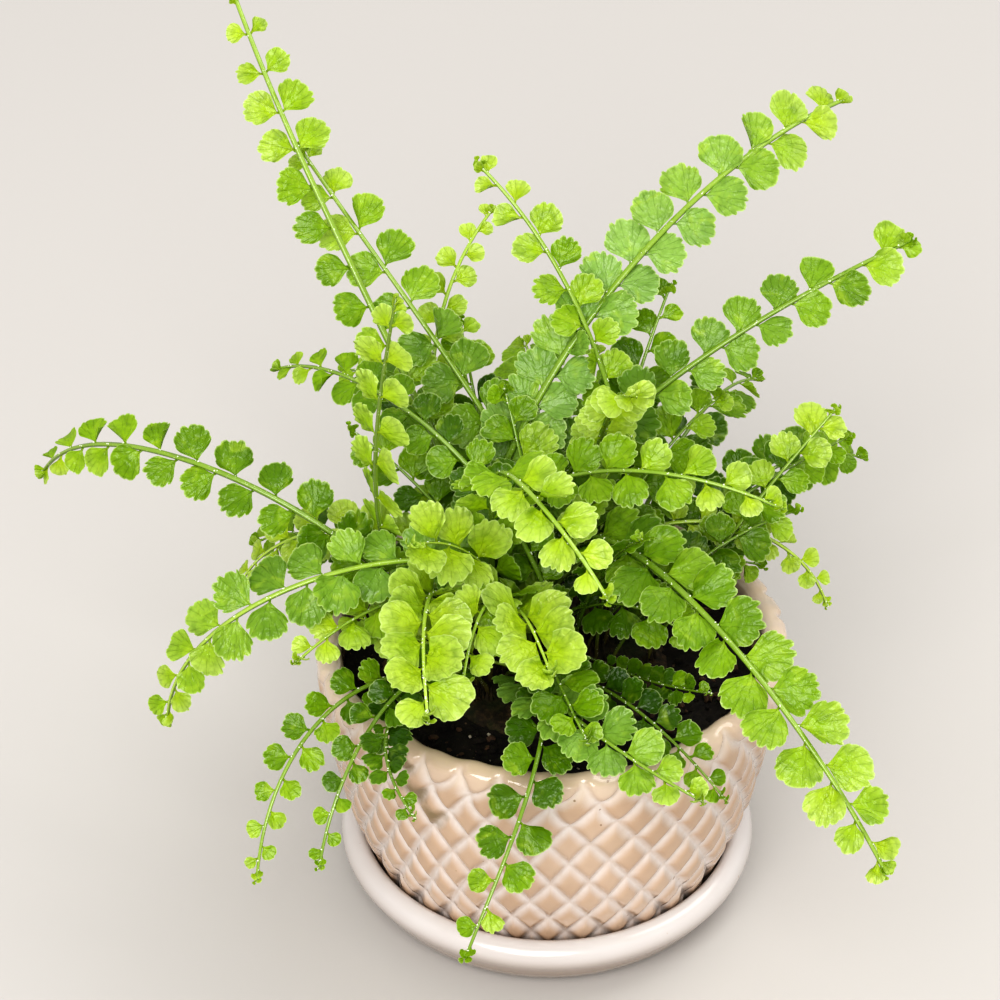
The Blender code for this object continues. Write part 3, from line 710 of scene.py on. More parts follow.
def build_fronds():
    ribs = [midrib(f) for f in FRONDS]
    coarse = []
    for f, pts in zip(FRONDS, ribs):
        v, t, _ = rib_tube(f, pts, 4, 8.0)
        coarse.append((v, t))
    # what fronds keep clear of: pot, saucer, soil
    walls = []
    for profile in ([(61.5, 18.5), (59.6, 20.2), (54.0, 20.4)],
                    [(58.0, 75.2), (58.2, 84.0), (60.0, 87.6), (62.1, 88.6), (65.2, 87.4), (66.8, 84.0), (66.9, 79.5),
                     (65.9, 66.0), (60.6, 38.0)],
                    [(31.0, 77.0), (34.5, 75.0), (58.0, 75.2)]):
        walls.append(lathe(profile, 60, False))
    grown = []          # coarse skins of the leaflets placed so far
    for i, frond in enumerate(FRONDS):
        name, bx, by, h0, swing, e0, e1, late, length, size, taper, age = frond
        habit = HABIT.get(name, {})
        rng = np.random.default_rng(1000 + i)
        others = walls + [c for k, c in enumerate(coarse) if k != i] + grown
        v_all, t_all, base = [], [], 0
        for v, t in others:
            v_all.append(v)
            t_all.append(np.asarray(t) + base)
            base += len(v)
        world = BVHTree.FromPolygons(np.concatenate(v_all).tolist(), np.concatenate(t_all).tolist())

        tube, tube_t, tube_uv = rib_tube(frond, ribs[i], 10, 3.0)
        verts, tris, index = [tube], [tube_t], [np.ones(len(tube_t), int)]
        leaf_uv, shade_uv, rims = [tube_uv[:, ::-1]], [], [np.zeros(len(tube), bool)]
        # the habit's tone, which holds painted light and shade, shifts the midrib's colour too
        tone = 0.34 + 0.7 * (age + habit.get("tone", 0.0)) + habit.get("stem", 0.0) - 0.34 * tube_uv[:, 0]
        tone = np.clip(tone, 0, 1)
        shade_uv.append(np.stack([tube_uv[:, 0], tone], 1))
        bloom_uv = [np.zeros((len(tube), 2))]
        count = len(tube)
        recent, tuft_at = [], []
        light = unit(np.array(LIGHT_FROM))
        turn = habit.get("turn", 0.65)
        for s, sgn, a in leaflets(frond):
            bud, a = a < 0, abs(a)
            u = s / length
            centre, along, side, up = station(frond, ribs[i], s)
            facing = up @ light
            if facing > 0.1 or turn > 1.0:
                roll = np.arctan2(-(side @ light), facing)
                if abs(roll) > pi / 2 and turn <= 1.0:
                    roll -= pi * np.sign(roll)
                roll = np.clip(0.85 * roll, -turn, turn) * (1.0 if turn > 1.0 else smooth(0.05, 0.45, facing))
                side, up = side * cos(roll) + up * sin(roll), up * cos(roll) - side * sin(roll)
            youth = float(smooth(0.6, 1.0, u))
            teeth = teeth_for(a)
            p = {
                "ta": radians(rng.uniform(54, 66)), "tb": radians(rng.uniform(50, 63)),
                "k": rng.uniform(0.42, 0.50), "n": rng.uniform(2.1, 2.9),
                "deep": (0.085 - 0.035 * youth) * (0.35 + 0.65 * smooth(0.1, 0.4, age)) * rng.uniform(0.7, 1.3),
                "stalk": 0.9 if a > 6 else 0.5,
                "fold": rng.uniform(-0.05, 0.26), "cup": rng.uniform(-0.25, 0.22),
                "ripple": 0.030 * rng.uniform(0.4, 1.5), "wave": rng.uniform(0.03, 0.11),
                "turns": rng.uniform(2.0, 3.6), "phase": rng.uniform(0, 6.28), "droop": rng.uniform(-0.05, 0.18),
                "curl": 0.0, "hook": 0.0,
                "notch": rng.uniform(0.4, 1.4, teeth + 1), "lobe": rng.uniform(-0.05, 0.04, teeth),
                "slip": np.linspace(0, 1, teeth + 1),
            }
            p["slip"][1:-1] += rng.uniform(-0.32, 0.32, teeth - 1) / teeth
            if rng.random() < 0.2:
                p["curl"] = rng.choice([-1.0, 1.0]) * rng.uniform(0.15, 0.45)
            lean = radians(habit.get("lean", 60.0) - 8.0 * youth + rng.normal(0, 5.0))
            lift = radians(habit.get("lift", 3.0) + rng.normal(0.0, 6.5))
            twist = radians(habit.get("twist", -9.0) + rng.normal(0, 6.0))
            if bud:
                p["cup"], p["fold"], p["hook"] = 0.5, 0.35, rng.uniform(0.9, 1.9)
                lean, lift, twist = radians(rng.uniform(25, 50)), radians(rng.uniform(10, 40)), 0.0
                free = 0.0
            else:
                free = habit.get("free", 0.3)
            # the leaflet also turns about its own midvein to face the light
            o, m, ac, n = leaf_frame(centre, along, side, up, sgn, 1.0, lean, lift, twist)
            if n @ light > 0.0:
                twist += np.clip(0.8 * np.arctan2(-(ac @ light), n @ light), -free, free) * smooth(0.0, 0.3, n @ light)
            ring, t, sd, rim, leaf_t, used, feel = leaf_template(teeth)
            chosen = None
            for d_lift, d_twist, d_lean, share in TRIES:
                local = leaf_shape(teeth, a * share, p)
                o, m, ac, n = leaf_frame(centre, along, side, up, sgn, rib_radius(frond, u),
                                         lean + radians(d_lean), lift + radians(d_lift), twist + radians(d_twist))
                w = o + local[:, :1] * m + local[:, 1:2] * ac + local[:, 2:] * n
                skin = w[used].tolist()
                tree = BVHTree.FromPolygons(skin, feel)
                if tree.overlap(world):
                    continue
                if any(tree.overlap(r) for r in recent[-4:]):
                    if d_lift or d_twist or share < 1:
                        continue
                    chosen = chosen or (w, skin, tree)
                    continue
                chosen = (w, skin, tree)
                break
            if chosen is None:
                continue
            w, skin, tree = chosen
            recent.append(tree)
            tuft_at.append((s, sgn))
            grown.append((np.array(skin), np.array(feel)))
            verts.append(w)
            tris.append((leaf_t if sgn > 0 else leaf_t[:, ::-1]) + count)
            index.append(np.zeros(len(leaf_t), int))
            leaf_uv.append(np.stack([t * teeth, RHO[ring]], 1))
            # the habit's tone, which holds painted light and shade, shifts the leaflet's colour
            tone = float(np.clip(age + habit.get("tone", 0.0) - 0.42 * youth + rng.normal(0, 0.06), 0.0, 1.0))
            shade_uv.append(np.tile([rng.random(), tone], (len(w), 1)))
            bloom_uv.append(np.tile([habit.get("bloom", 0.0) * (1 - youth) * rng.uniform(0.5, 1.0), 0.0], (len(w), 1)))
            rims.append(rim)
            count += len(w)
        tufts, tuft_t = scale_tufts(frond, ribs[i], rng, tuft_at, habit.get("tufts", 1))
        if len(tufts):
            verts.append(tufts)
            tris.append(tuft_t + count)
            index.append(np.ones(len(tuft_t), int))
            leaf_uv.append(np.ones((len(tufts), 2)))
            shade_uv.append(np.tile([0.5, 0.3], (len(tufts), 1)))
            bloom_uv.append(np.tile([1.0, 0.0], (len(tufts), 1)))
            rims.append(np.zeros(len(tufts), bool))
            count += len(tufts)
        obj = make_piece("leaves_" + name[6:], np.concatenate(verts), np.concatenate(tris), [LEAF, RACHIS],
                         np.concatenate(index), {"leaf": np.concatenate(leaf_uv), "shade": np.concatenate(shade_uv),
                          "bloom": np.concatenate(bloom_uv)},
                         np.concatenate(rims))
        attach(obj, "root")
        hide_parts(name)


# ---------------------------------------------------------------- the pot
TILES = 36                    # diamonds round the pot
LATTICE_TURN = radians(2.4)
TILE_HALF = 8.4               # half of a diamond's height
ROW0_Z = 78.8                 # lowest point of the first row of scales under the rim
RELIEF = 1.6


def wall_radius(z):
    line = curve_through([(65.3, 84.6), (65.6, 79.5), (64.8, 70.0), (62.6, 56.0), (59.4, 38.0), (55.6, 26.0),
                          (53.0, 19.0), (50.2, 10.0), (48.3, 5.0)], 8)
    return np.interp(z, line[::-1, 1], line[::-1, 0])


def relief(theta, z):
    """Height of the raised diamonds at an angle and a height, and the distances to the edge
    below and to the edge above, in mm."""
    width = 2 * pi * wall_radius(z) / TILES
    row_of = np.full(theta.shape, -1)
    below = np.zeros(theta.shape)
    above = np.full(theta.shape, 9.0)
    side_gap = np.full(theta.shape, 9.0)
    last_low = np.full(theta.shape, 1e3)
    last_slope = np.zeros(theta.shape)
    for k in range(11):
        shape = 1.9 if k == 0 else 1.55 if k == 1 else 1.2 if k == 2 else 1.0
        depth = 7.6 if k == 0 else 8.0 if k == 1 else 8.3 if k == 2 else TILE_HALF
        bottom = ROW0_Z - TILE_HALF * k
        turn = (theta - LATTICE_TURN) * TILES / (2 * pi) - 0.5 * (k % 2)
        x = 2 * (turn - np.round(turn))
        low = bottom + depth * np.abs(x) ** shape
        slope = depth * shape * np.abs(x) ** (shape - 1.0) / (width / 2)
        here = (row_of < 0) & (z >= low - 1e-6)
        below = np.where(here, (z - low) / np.sqrt(1 + slope ** 2), below)
        above = np.where(here, np.where(last_low > 500, 9.0, (last_low - z) / np.sqrt(1 + last_slope ** 2)), above)
        if k == 0:
            side_gap = np.where(here, (1 - np.abs(x)) * width / 2, side_gap)
        row_of = np.where(here, k, row_of)
        last_low, last_slope = low, slope
    rise = smooth(-0.4, 3.2, above)
    drop = smooth(-0.4, 2.4, below)
    flank = 0.30 + 0.70 * smooth(0.0, 1.9, side_gap)
    h = (0.82 * rise + 0.18 * np.clip(above / 8.0, 0, 1)) * drop * flank
    return h, below, above


def pot():
    cols = TILES * 16
    per = TILE_HALF / 8
    zs = [ROW0_Z + per * 5 - per * j for j in range(75)]          # down the wall
    theta0 = np.arange(cols) * 2 * pi / cols + LATTICE_TURN
    rows, kinds = [], []
    arc = [(62.1 + 3.2 * cos(radians(a)), POT_RIM_Z - 3.2 + 3.2 * sin(radians(a)))
           for a in (180, 160, 140, 120, 105, 90, 76, 62, 48, 34, 20, 8)]
    for k, (r, z) in enumerate(arc):
        rows.append((r, z))
        kinds.append("rim" if k < 5 else "shoulder")
    for z in zs:
        rows.append((float(wall_radius(z)), z))
        kinds.append("wall")
    foot_z = SAUCER_FLOOR_Z + GAP
    for r, z in [(48.0, foot_z + 0.3), (47.4, foot_z), (43.2, foot_z), (42.4, foot_z + 0.5), (41.8, foot_z + 1.4),
                 (24.0, foot_z + 1.4), (DRAIN_R + 0.4, foot_z + 1.4), (DRAIN_R, foot_z + 1.8), (DRAIN_R, 11.1),
                 (DRAIN_R + 0.4, POT_FLOOR_Z), (24.0, POT_FLOOR_Z)]:
        rows.append((r, z))
        kinds.append("plain")
    inner = curve_through([(40.5, POT_FLOOR_Z), (43.6, 13.2), (47.4, 22.0), (52.8, 38.0), (56.2, 56.0), (58.4, 72.0),
                           (POT_RIM_INNER_R, 83.0)], 4)
    for r, z in inner:
        rows.append((float(r), float(z)))
        kinds.append("inner")
    n = len(rows)
    r = np.array([q[0] for q in rows])[:, None] + 0 * theta0
    z = np.array([q[1] for q in rows])[:, None] + 0 * theta0
    th = theta0[None, :] + 0 * z
    h, below, above = relief(th, z)
    wall = np.array([k == "wall" for k in kinds])[:, None]
    shoulder = np.array([k == "shoulder" for k in kinds])[:, None]
    rim = np.array([k == "rim" for k in kinds])[:, None] | shoulder
    fade = 1.0 - smooth(85.4, 87.7, z)
    base_fade = smooth(5.6, 9.0, z)
    lift = np.where(wall | shoulder, (h - 0.80 + 0.25 * smooth(19.0, 30.0, z)) * RELIEF * fade * base_fade, 0.0)
    lean = np.array([radians((90, 76, 62, 48, 34, 20, 8)[i - 5]) if k == "shoulder" else 0.0
                     for i, k in enumerate(kinds)])[:, None]
    # the hand-formed wobble of rim and wall
    wob = 0.55 * np.sin(2 * th + 0.6) + 0.45 * np.sin(5 * th + 2.1) + 0.35 * np.sin(9 * th + 0.3)
    near_rim = smooth(52.0, 84.0, z)
    r = r + lift * np.cos(lean) + wob * 0.55 * near_rim
    z = z + lift * np.sin(lean)
    lump = np.cos(TILES * th) * 0.30 + np.sin(13 * th + 0.7) * 0.25 + np.sin(7 * th + 1.0) * 0.35 \
        + np.sin(4 * th + 4.0) * 0.45
    z = z + np.where(rim | (wall & (z > 70)), lump * smooth(72.0, 87.0, z), 0.0) - 0.75 * smooth(80.0, 87.6, z)
    # tiles are set by hand, so the lattice drifts a little
    drift = 0.014 * np.sin(3 * th + z * 0.05) + 0.010 * np.sin(7 * th + z * 0.11 + 1.0) + 0.05 * np.sin(2 * th + 2.2)
    th = th + np.where(wall, drift * (1 - smooth(74.0, 84.0, z)), 0.0)
    z = z + np.where(wall, 0.45 * np.sin(4 * th + 1.3) * (1 - smooth(64.0, 74.0, z)) * smooth(8.0, 18.0, z), 0.0)
    verts = np.stack([r * np.cos(th), r * np.sin(th), z], -1).reshape(-1, 3)
    tris = []
    col = np.arange(cols)
    for j in range(n):
        a = j * cols + col
        b = ((j + 1) % n) * cols + col
        a2, b2 = np.roll(a, -1), np.roll(b, -1)
        flip = np.zeros(cols, bool)
        if kinds[j] == "wall" and j + 1 < n and kinds[j + 1] == "wall":
            zm = (rows[j][1] + rows[j + 1][1]) / 2
            band = int(np.ceil((ROW0_Z - zm) / TILE_HALF - 1e-9))          # the row whose edges cross this band
            flip = ((col // 8) - (band % 2)) % 2 == 0
        one = np.where(flip[:, None], np.stack([a, b, a2], 1), np.stack([a, b, b2], 1))
        two = np.where(flip[:, None], np.stack([a2, b, b2], 1), np.stack([a, b2, a2], 1))
        tris += [one, two]
    tris = np.concatenate(tris)
    on = np.where(wall | shoulder, fade, 0.0)
    # painted highlight and shade: pinkish white on the upper bevels, which face the light, and brown along the lower
    # edges, which face down, partly also glaze thinning and pooling
    white = np.maximum(1.0 - smooth(0.3, 2.7, above), 0.75 * (1.0 - smooth(0.2, 1.5, below)))
    brown = 1.0 - smooth(0.6, 3.6, below)
    uv = np.stack([white, brown], -1) * np.clip(on * 3.0, 0.0, 1.0)[..., None]
    uv = uv.reshape(-1, 2)
    obj = make_piece("glazed_pot", verts, tris, [glaze_material()], uvs={"relief": uv})
    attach(obj, "root")
    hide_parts("pot")
    return obj


def glaze_material():
    mat, nodes, links, shader, out = new_material("pot_glaze_lattice")
    white, brown = uv_node(nodes, links, "relief")
    coord = nodes.new("ShaderNodeTexCoord").outputs["Object"]
    cloud = noise_node(nodes, links, coord, 26.0, 4.0)
    fine = noise_node(nodes, links, coord, 240.0, 4.0)
    body = ramp(nodes, links, cloud, [(0.30, (0.455, 0.312, 0.212)), (0.50, (0.525, 0.372, 0.260)), (0.72, (0.615, 0.462, 0.345))])
    # painted highlight in white on the upper bevels and painted shade in brown along the lower edges, partly also
    # glaze thinning and pooling
    white = math_node(nodes, links, "MULTIPLY", white, remap(nodes, links, fine, 0.2, 0.7, 0.65, 1.0))
    brown = math_node(nodes, links, "MULTIPLY", brown, remap(nodes, links, cloud, 0.3, 0.75, 0.75, 0.30))
    body = mix_colour(nodes, links, math_node(nodes, links, "MULTIPLY", brown, 0.55), body, (0.45, 0.28, 0.17))
    body = mix_colour(nodes, links, math_node(nodes, links, "MULTIPLY", white, 0.88), body, (0.73, 0.675, 0.65))
    sep = nodes.new("ShaderNodeSeparateXYZ")
    links.new(coord, sep.inputs[0])
    # lighter and creamier towards the rim, uneven round the pot
    rim_patchiness = noise_node(nodes, links, coord, 14.0, 2.0)
    cream = math_node(nodes, links, "MULTIPLY", remap(nodes, links, sep.outputs["Z"], 0.0770, 0.0835, 0.0, 0.85),
                      remap(nodes, links, rim_patchiness, 0.38, 0.60, 0.55, 1.0))
    body = mix_colour(nodes, links, cream, body, (0.73, 0.600, 0.485))
    # darker runs of glaze in a few places under the rim
    spots = noise_node(nodes, links, coord, 17.0, 2.0, distortion=0.6)
    high = remap(nodes, links, sep.outputs["Z"], 0.050, 0.078, 0.0, 1.0)
    stain = math_node(nodes, links, "MULTIPLY", remap(nodes, links, spots, 0.60, 0.72, 0.0, 0.7), high)
    body = mix_colour(nodes, links, stain, body, (0.30, 0.20, 0.10))
    # and three olive brown stains in the hollows on one side
    rough = math_node(nodes, links, "MULTIPLY", math_node(nodes, links, "SUBTRACT",
                      noise_node(nodes, links, coord, 210.0, 3.0), 0.5), 0.0060)
    for place, size in (((-0.0374, -0.0532, 0.0722), 0.0058), ((-0.0323, -0.0564, 0.0669), 0.0056),
                        ((-0.0393, -0.0518, 0.0819), 0.0042)):
        span = nodes.new("ShaderNodeVectorMath")
        span.operation = "DISTANCE"
        links.new(coord, span.inputs[0])
        span.inputs[1].default_value = place
        away = math_node(nodes, links, "ADD", span.outputs["Value"], rough)
        body = mix_colour(nodes, links, remap(nodes, links, away, 0.0014, size, 0.92, 0.0), body, (0.22, 0.155, 0.070))
    speck = noise_node(nodes, links, coord, 420.0, 1.0)
    body = mix_colour(nodes, links, remap(nodes, links, speck, 0.76, 0.80, 0.0, 0.7), body, (0.22, 0.13, 0.07))
    links.new(body, shader.inputs["Base Color"])
    shader.inputs["Roughness"].default_value = 0.14
    shader.inputs["Specular IOR Level"].default_value = 0.60
    shader.inputs["Coat Weight"].default_value = 0.4
    shader.inputs["Coat Roughness"].default_value = 0.05
    bump(nodes, links, shader, noise_node(nodes, links, coord, 130.0, 3.0), 0.0005, 0.5)
    return mat


# ---------------------------------------------------------------- the saucer
def saucer():
    line = curve_through([(49.3, SAUCER_FLOOR_Z + 0.05), (50.3, 5.8), (51.1, 8.8), (51.9, 12.0), (52.7, 15.2),
                          (53.3, 17.8), (54.2, 19.1), (55.6, SAUCER_LIP_Z + 0.6), (57.6, SAUCER_LIP_Z), (59.1, 17.7),
                          (SAUCER_LIP_R, 15.4), (59.6, 13.0), (57.9, 10.0), (55.5, 6.2), (52.6, 2.6), (50.6, 0.9),
                          (SAUCER_FOOT_R, 0.25), (SAUCER_FOOT_R - 0.9, 0.0)], 4)
    profile = [(0.05, SAUCER_FLOOR_Z), (15.0, SAUCER_FLOOR_Z), (30.0, SAUCER_FLOOR_Z), (42.0, SAUCER_FLOOR_Z),
               (48.6, SAUCER_FLOOR_Z)] + [(float(r), float(max(z, 0.0))) for r, z in line] \
        + [(47.5, 0.0), (43.0, 0.0), (42.2, 0.5), (41.0, 0.9), (20.0, 0.9), (0.05, 0.9)]
    verts, tris = lathe(profile, 160, True)
    ang = np.arctan2(verts[:, 1], verts[:, 0])
    up = smooth(8.0, 18.0, verts[:, 2])
    verts[:, 2] += up * (0.18 * np.sin(2 * ang + 0.4) + 0.12 * np.sin(5 * ang) - 0.25)
    scale = 1 + up * (0.10 * np.sin(3 * ang + 1.0) - 0.12) / 60.0
    verts[:, 0] *= scale
    verts[:, 1] *= scale
    obj = make_piece("glazed_saucer", verts, tris, [saucer_material()])
    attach(obj, "root")
    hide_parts("saucer")
    return obj


def saucer_material():
    mat, nodes, links, shader, out = new_material("saucer_white_glaze")
    coord = nodes.new("ShaderNodeTexCoord").outputs["Object"]
    cloud = noise_node(nodes, links, coord, 22.0, 4.0)
    body = ramp(nodes, links, cloud, [(0.3, (0.60, 0.555, 0.530)), (0.55, (0.635, 0.598, 0.580)), (0.8, (0.665, 0.637, 0.622))])
    # painted shade: darker and warmer low on the outside, where less light reaches
    sep = nodes.new("ShaderNodeSeparateXYZ")
    links.new(coord, sep.inputs[0])
    low = remap(nodes, links, sep.outputs["Z"], 0.0072, 0.0188, 0.97, 0.0)
    body = mix_colour(nodes, links, low, body, (0.34, 0.262, 0.205))
    speck = noise_node(nodes, links, coord, 500.0, 1.0)
    body = mix_colour(nodes, links, remap(nodes, links, speck, 0.78, 0.82, 0.0, 0.5), body, (0.45, 0.32, 0.22))
    links.new(body, shader.inputs["Base Color"])
    shader.inputs["Roughness"].default_value = 0.17
    shader.inputs["Specular IOR Level"].default_value = 0.5
    shader.inputs["Coat Weight"].default_value = 0.3
    shader.inputs["Coat Roughness"].default_value = 0.06
    bump(nodes, links, shader, noise_node(nodes, links, coord, 90.0, 3.0), 0.0003, 0.4)
    return mat


# ---------------------------------------------------------------- soil and crown
def soil_material(name, dark, brown, pale):
    mat, nodes, links, shader, out = new_material(name)
    coord = nodes.new("ShaderNodeTexCoord").outputs["Object"]
    grain = noise_node(nodes, links, coord, 420.0, 6.0, 0.7)
    clump = noise_node(nodes, links, coord, 90.0, 4.0)
    body = ramp(nodes, links, grain, [(0.30, dark), (0.55, tuple(0.5 * (a + b) for a, b in zip(dark, brown))), (0.72, brown)])
    body = mix_colour(nodes, links, remap(nodes, links, clump, 0.45, 0.7, 0.0, 0.7), body, dark)
    chip = noise_node(nodes, links, coord, 700.0, 1.0)
    body = mix_colour(nodes, links, remap(nodes, links, chip, 0.72, 0.75, 0.0, 0.8), body, pale)
    links.new(body, shader.inputs["Base Color"])
    shader.inputs["Roughness"].default_value = 0.92
    bump(nodes, links, shader, grain, 0.0012, 1.0)
    return mat


def wavy(x, y, seed, cell):
    """Smooth value noise on a grid of cells, without any texture."""
    rng = np.random.default_rng(seed)
    table = rng.random((64, 64))
    gx, gy = x / cell + 31.5, y / cell + 31.5
    ix, iy = np.floor(gx).astype(int), np.floor(gy).astype(int)
    fx, fy = gx - ix, gy - iy
    fx, fy = fx * fx * (3 - 2 * fx), fy * fy * (3 - 2 * fy)
    ix, iy = ix % 64, iy % 64
    jx, jy = (ix + 1) % 64, (iy + 1) % 64
    return ((table[ix, iy] * (1 - fx) + table[jx, iy] * fx) * (1 - fy)
            + (table[ix, jy] * (1 - fx) + table[jx, jy] * fx) * fy) - 0.5


def soil():
    floor = POT_FLOOR_Z + GAP
    top = [(0.05, 71.0), (15.0, 71.0), (29.0, 71.0)] + [(30.0 + 27.6 * k / 34, SOIL_Z + 0.1) for k in range(35)]
    side = [(57.9, 72.6), (58.4 - GAP, 72.0), (56.2 - GAP, 56.0), (52.8 - GAP, 38.0), (47.4 - GAP, 22.0),
            (43.6 - GAP, 13.2 + GAP), (40.5 - GAP, floor), (0.05, floor)]
    verts, tris = lathe(top + side, 260, True)
    n = len(top) * 260
    x, y = verts[:n, 0], verts[:n, 1]
    r = np.hypot(x, y)
    bumps = 1.3 * wavy(x, y, 3, 5.5) + 0.9 * wavy(x, y, 4, 2.4) + 0.7 * wavy(x, y, 5, 1.2)
    verts[:n, 2] += bumps * smooth(28.0, 32.0, r) * (1 - 0.6 * smooth(56.0, 57.6, r))
    verts[:n, 2] -= 0.5 * smooth(50.0, 57.0, r)
    obj = make_piece("potting_soil", verts, tris, [SOIL_MAT])
    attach(obj, "root")
    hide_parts("soil")
    return obj


def lumps(name, mats, spots, rng):
    """Many small broken grains in one mesh.  spots: (x, y, z, size, flatness, material)."""
    # hull of a small sphere-like grid
    import itertools
    ico_v = []
    phi = (1 + 5 ** 0.5) / 2
    for s1, s2 in itertools.product((-1, 1), (-1, 1)):
        ico_v += [(0, s1, s2 * phi), (s1, s2 * phi, 0), (s2 * phi, 0, s1)]
    ico_v = np.array(ico_v, float)
    ico_v /= np.linalg.norm(ico_v[0])
    faces = []
    for i, j, k in itertools.combinations(range(12), 3):
        d = [np.linalg.norm(ico_v[a] - ico_v[b]) for a, b in ((i, j), (j, k), (i, k))]
        if max(d) < 1.2:
            nrm = np.cross(ico_v[j] - ico_v[i], ico_v[k] - ico_v[i])
            faces.append((i, j, k) if nrm @ ico_v[i] > 0 else (i, k, j))
    # one split
    mids, v2, f2 = {}, [tuple(v) for v in ico_v], []

    def mid(a, b):
        key = (min(a, b), max(a, b))
        if key not in mids:
            m = (np.array(v2[a]) + np.array(v2[b])) / 2
            mids[key] = len(v2)
            v2.append(tuple(m / np.linalg.norm(m)))
        return mids[key]
    for a, b, c in faces:
        ab, bc, ca = mid(a, b), mid(b, c), mid(c, a)
        f2 += [(a, ab, ca), (b, bc, ab), (c, ca, bc), (ab, bc, ca)]
    ball, bf = np.array(v2), np.array(f2)
    verts, tris, index, base = [], [], [], 0
    for x, y, z, size, flat, m in spots:
        scale = np.array([1.0, rng.uniform(0.45, 0.9), flat]) * size
        w = ball * (1 + rng.uniform(-0.22, 0.22, (len(ball), 1))) * scale
        q = Matrix.Rotation(rng.uniform(0, 6.28), 3, 'Z') @ Matrix.Rotation(rng.uniform(-0.5, 0.5), 3, 'X')
        w = w @ np.array(q).T + np.array([x, y, z])
        verts.append(w)
        tris.append(bf + base)
        index.append(np.full(len(bf), m))
        base += len(w)
    obj = make_piece(name, np.concatenate(verts), np.concatenate(tris), mats, np.concatenate(index),
                     flat=np.ones(base and len(np.concatenate(tris)), bool))
    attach(obj, "root")
    return obj


def crumbs():
    rng = np.random.default_rng(77)
    spots = []
    while len(spots) < 620:
        r, w = 34.0 + 23.2 * rng.random() ** 0.75, rng.uniform(0, 2 * pi)
        size = rng.choice([0.5, 0.8, 1.2, 1.8], p=[0.35, 0.35, 0.2, 0.1]) * rng.uniform(0.8, 1.25)
        if r + size > 57.6:
            continue
        m = int(rng.choice([0, 1, 2], p=[0.70, 0.27, 0.03]))
        if m == 2:
            size = min(size, 0.55)
        spots.append((r * cos(w), r * sin(w), SOIL_Z + 0.2 + 0.25 * size, size, rng.uniform(0.3, 0.75), m))
    chip = soil_material("bark_chips", (0.05, 0.03, 0.02), (0.17, 0.09, 0.05), (0.3, 0.2, 0.12))
    grit = soil_material("pale_grit", (0.42, 0.36, 0.28), (0.6, 0.54, 0.44), (0.7, 0.66, 0.6))
    return lumps("soil_crumbs", [SOIL_MAT, chip, grit], spots, rng)


def crown():
    """The mat of rhizomes: a low dome, with the scaly feet of old stalks standing on it."""
    top = [(0.05, CROWN_Z)] + [(1.2 * k, CROWN_Z) for k in range(1, 24)] + [(29.0, CROWN_Z - 0.05), (30.6, CROWN_Z - 0.4),
                                                                          (32.0, CROWN_Z - 1.1), (33.0, SOIL_Z + 0.9)]
    verts, tris = lathe(top + [(CROWN_R, 74.0), (CROWN_R, 71.9), (30.3, 69.8), (0.05, 69.8)], 120, True)
    n = len(top) * 120
    x, y = verts[:n, 0], verts[:n, 1]
    verts[:n, 2] += 1.2 * wavy(x, y, 8, 4.0) + 0.8 * wavy(x, y, 9, 1.8) - 0.5
    obj = make_piece("rhizome_mat", verts, tris, [CROWN_MAT])
    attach(obj, "root")
    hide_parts("crown")

    rng = np.random.default_rng(5)
    v_all, t_all, base = [], [], 0
    feet = [(f[1], f[2]) for f in FRONDS]
    spots = []
    for bx, by in feet:
        for _ in range(7):
            w, d = rng.uniform(0, 2 * pi), rng.uniform(1.5, 3.0)
            spots.append((bx + d * cos(w), by + d * sin(w), rng.uniform(2.2, 5.5), (bx, by)))
    for _ in range(90):
        w, r = rng.uniform(0, 2 * pi), 30 * rng.random() ** 0.5
        spots.append((r * cos(w), r * sin(w), rng.uniform(2.0, 4.5), None))
    for x, y, height, foot in spots:
        if hypot(x, y) > 31.5:
            continue
        if foot:
            lean = np.array([foot[0] - x, foot[1] - y]) * 0.12
        else:
            lean = rng.normal(0, 0.6, 2)
        r0 = rng.uniform(0.35, 0.7)
        rows, sides = 4, 5
        for j in range(rows + 1):
            u = j / rows
            c = np.array([x + lean[0] * u * 2, y + lean[1] * u * 2, CROWN_Z - 1.2 + height * u])
            rr = r0 * (1 - u) ** 0.8 + 0.03
            for k in range(sides):
                w = 2 * pi * k / sides
                v_all.append(c + np.array([rr * cos(w), rr * sin(w), 0]))
        for j in range(rows):
            for k in range(sides):
                a, b = base + j * sides + k, base + j * sides + (k + 1) % sides
                c2, d2 = a + sides, b + sides
                t_all += [(a, b, d2), (a, d2, c2)]
        e = base + rows * sides
        t_all += [(e, e + 1, e + 2), (e, e + 2, e + 3), (e, e + 3, e + 4)]
        t_all += [(base, base + 2, base + 1), (base, base + 3, base + 2), (base, base + 4, base + 3)]
        base += (rows + 1) * sides
    obj2 = make_piece("crown_scales", v_all, t_all, [CROWN_MAT])
    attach(obj2, "root")


def crown_material():
    mat, nodes, links, shader, out = new_material("crown_scales_brown")
    coord = nodes.new("ShaderNodeTexCoord").outputs["Object"]
    grain = noise_node(nodes, links, coord, 520.0, 5.0, 0.65)
    patch = noise_node(nodes, links, coord, 110.0, 3.0)
    # painted shade: the crown's own brown is kept nearly black, with a dark green cast, as under the fronds
    body = ramp(nodes, links, grain, [(0.30, (0.010, 0.007, 0.004)), (0.5, (0.035, 0.022, 0.010)), (0.72, (0.11, 0.065, 0.03))])
    body = mix_colour(nodes, links, remap(nodes, links, patch, 0.5, 0.7, 0.0, 0.6), body, (0.025, 0.045, 0.010))
    links.new(body, shader.inputs["Base Color"])
    shader.inputs["Roughness"].default_value = 0.8
    bump(nodes, links, shader, grain, 0.0008, 1.0)
    return mat


SOIL_MAT = soil_material("dark_potting_mix", (0.004, 0.0032, 0.0026), (0.030, 0.019, 0.012), (0.16, 0.10, 0.06))
CROWN_MAT = crown_material()


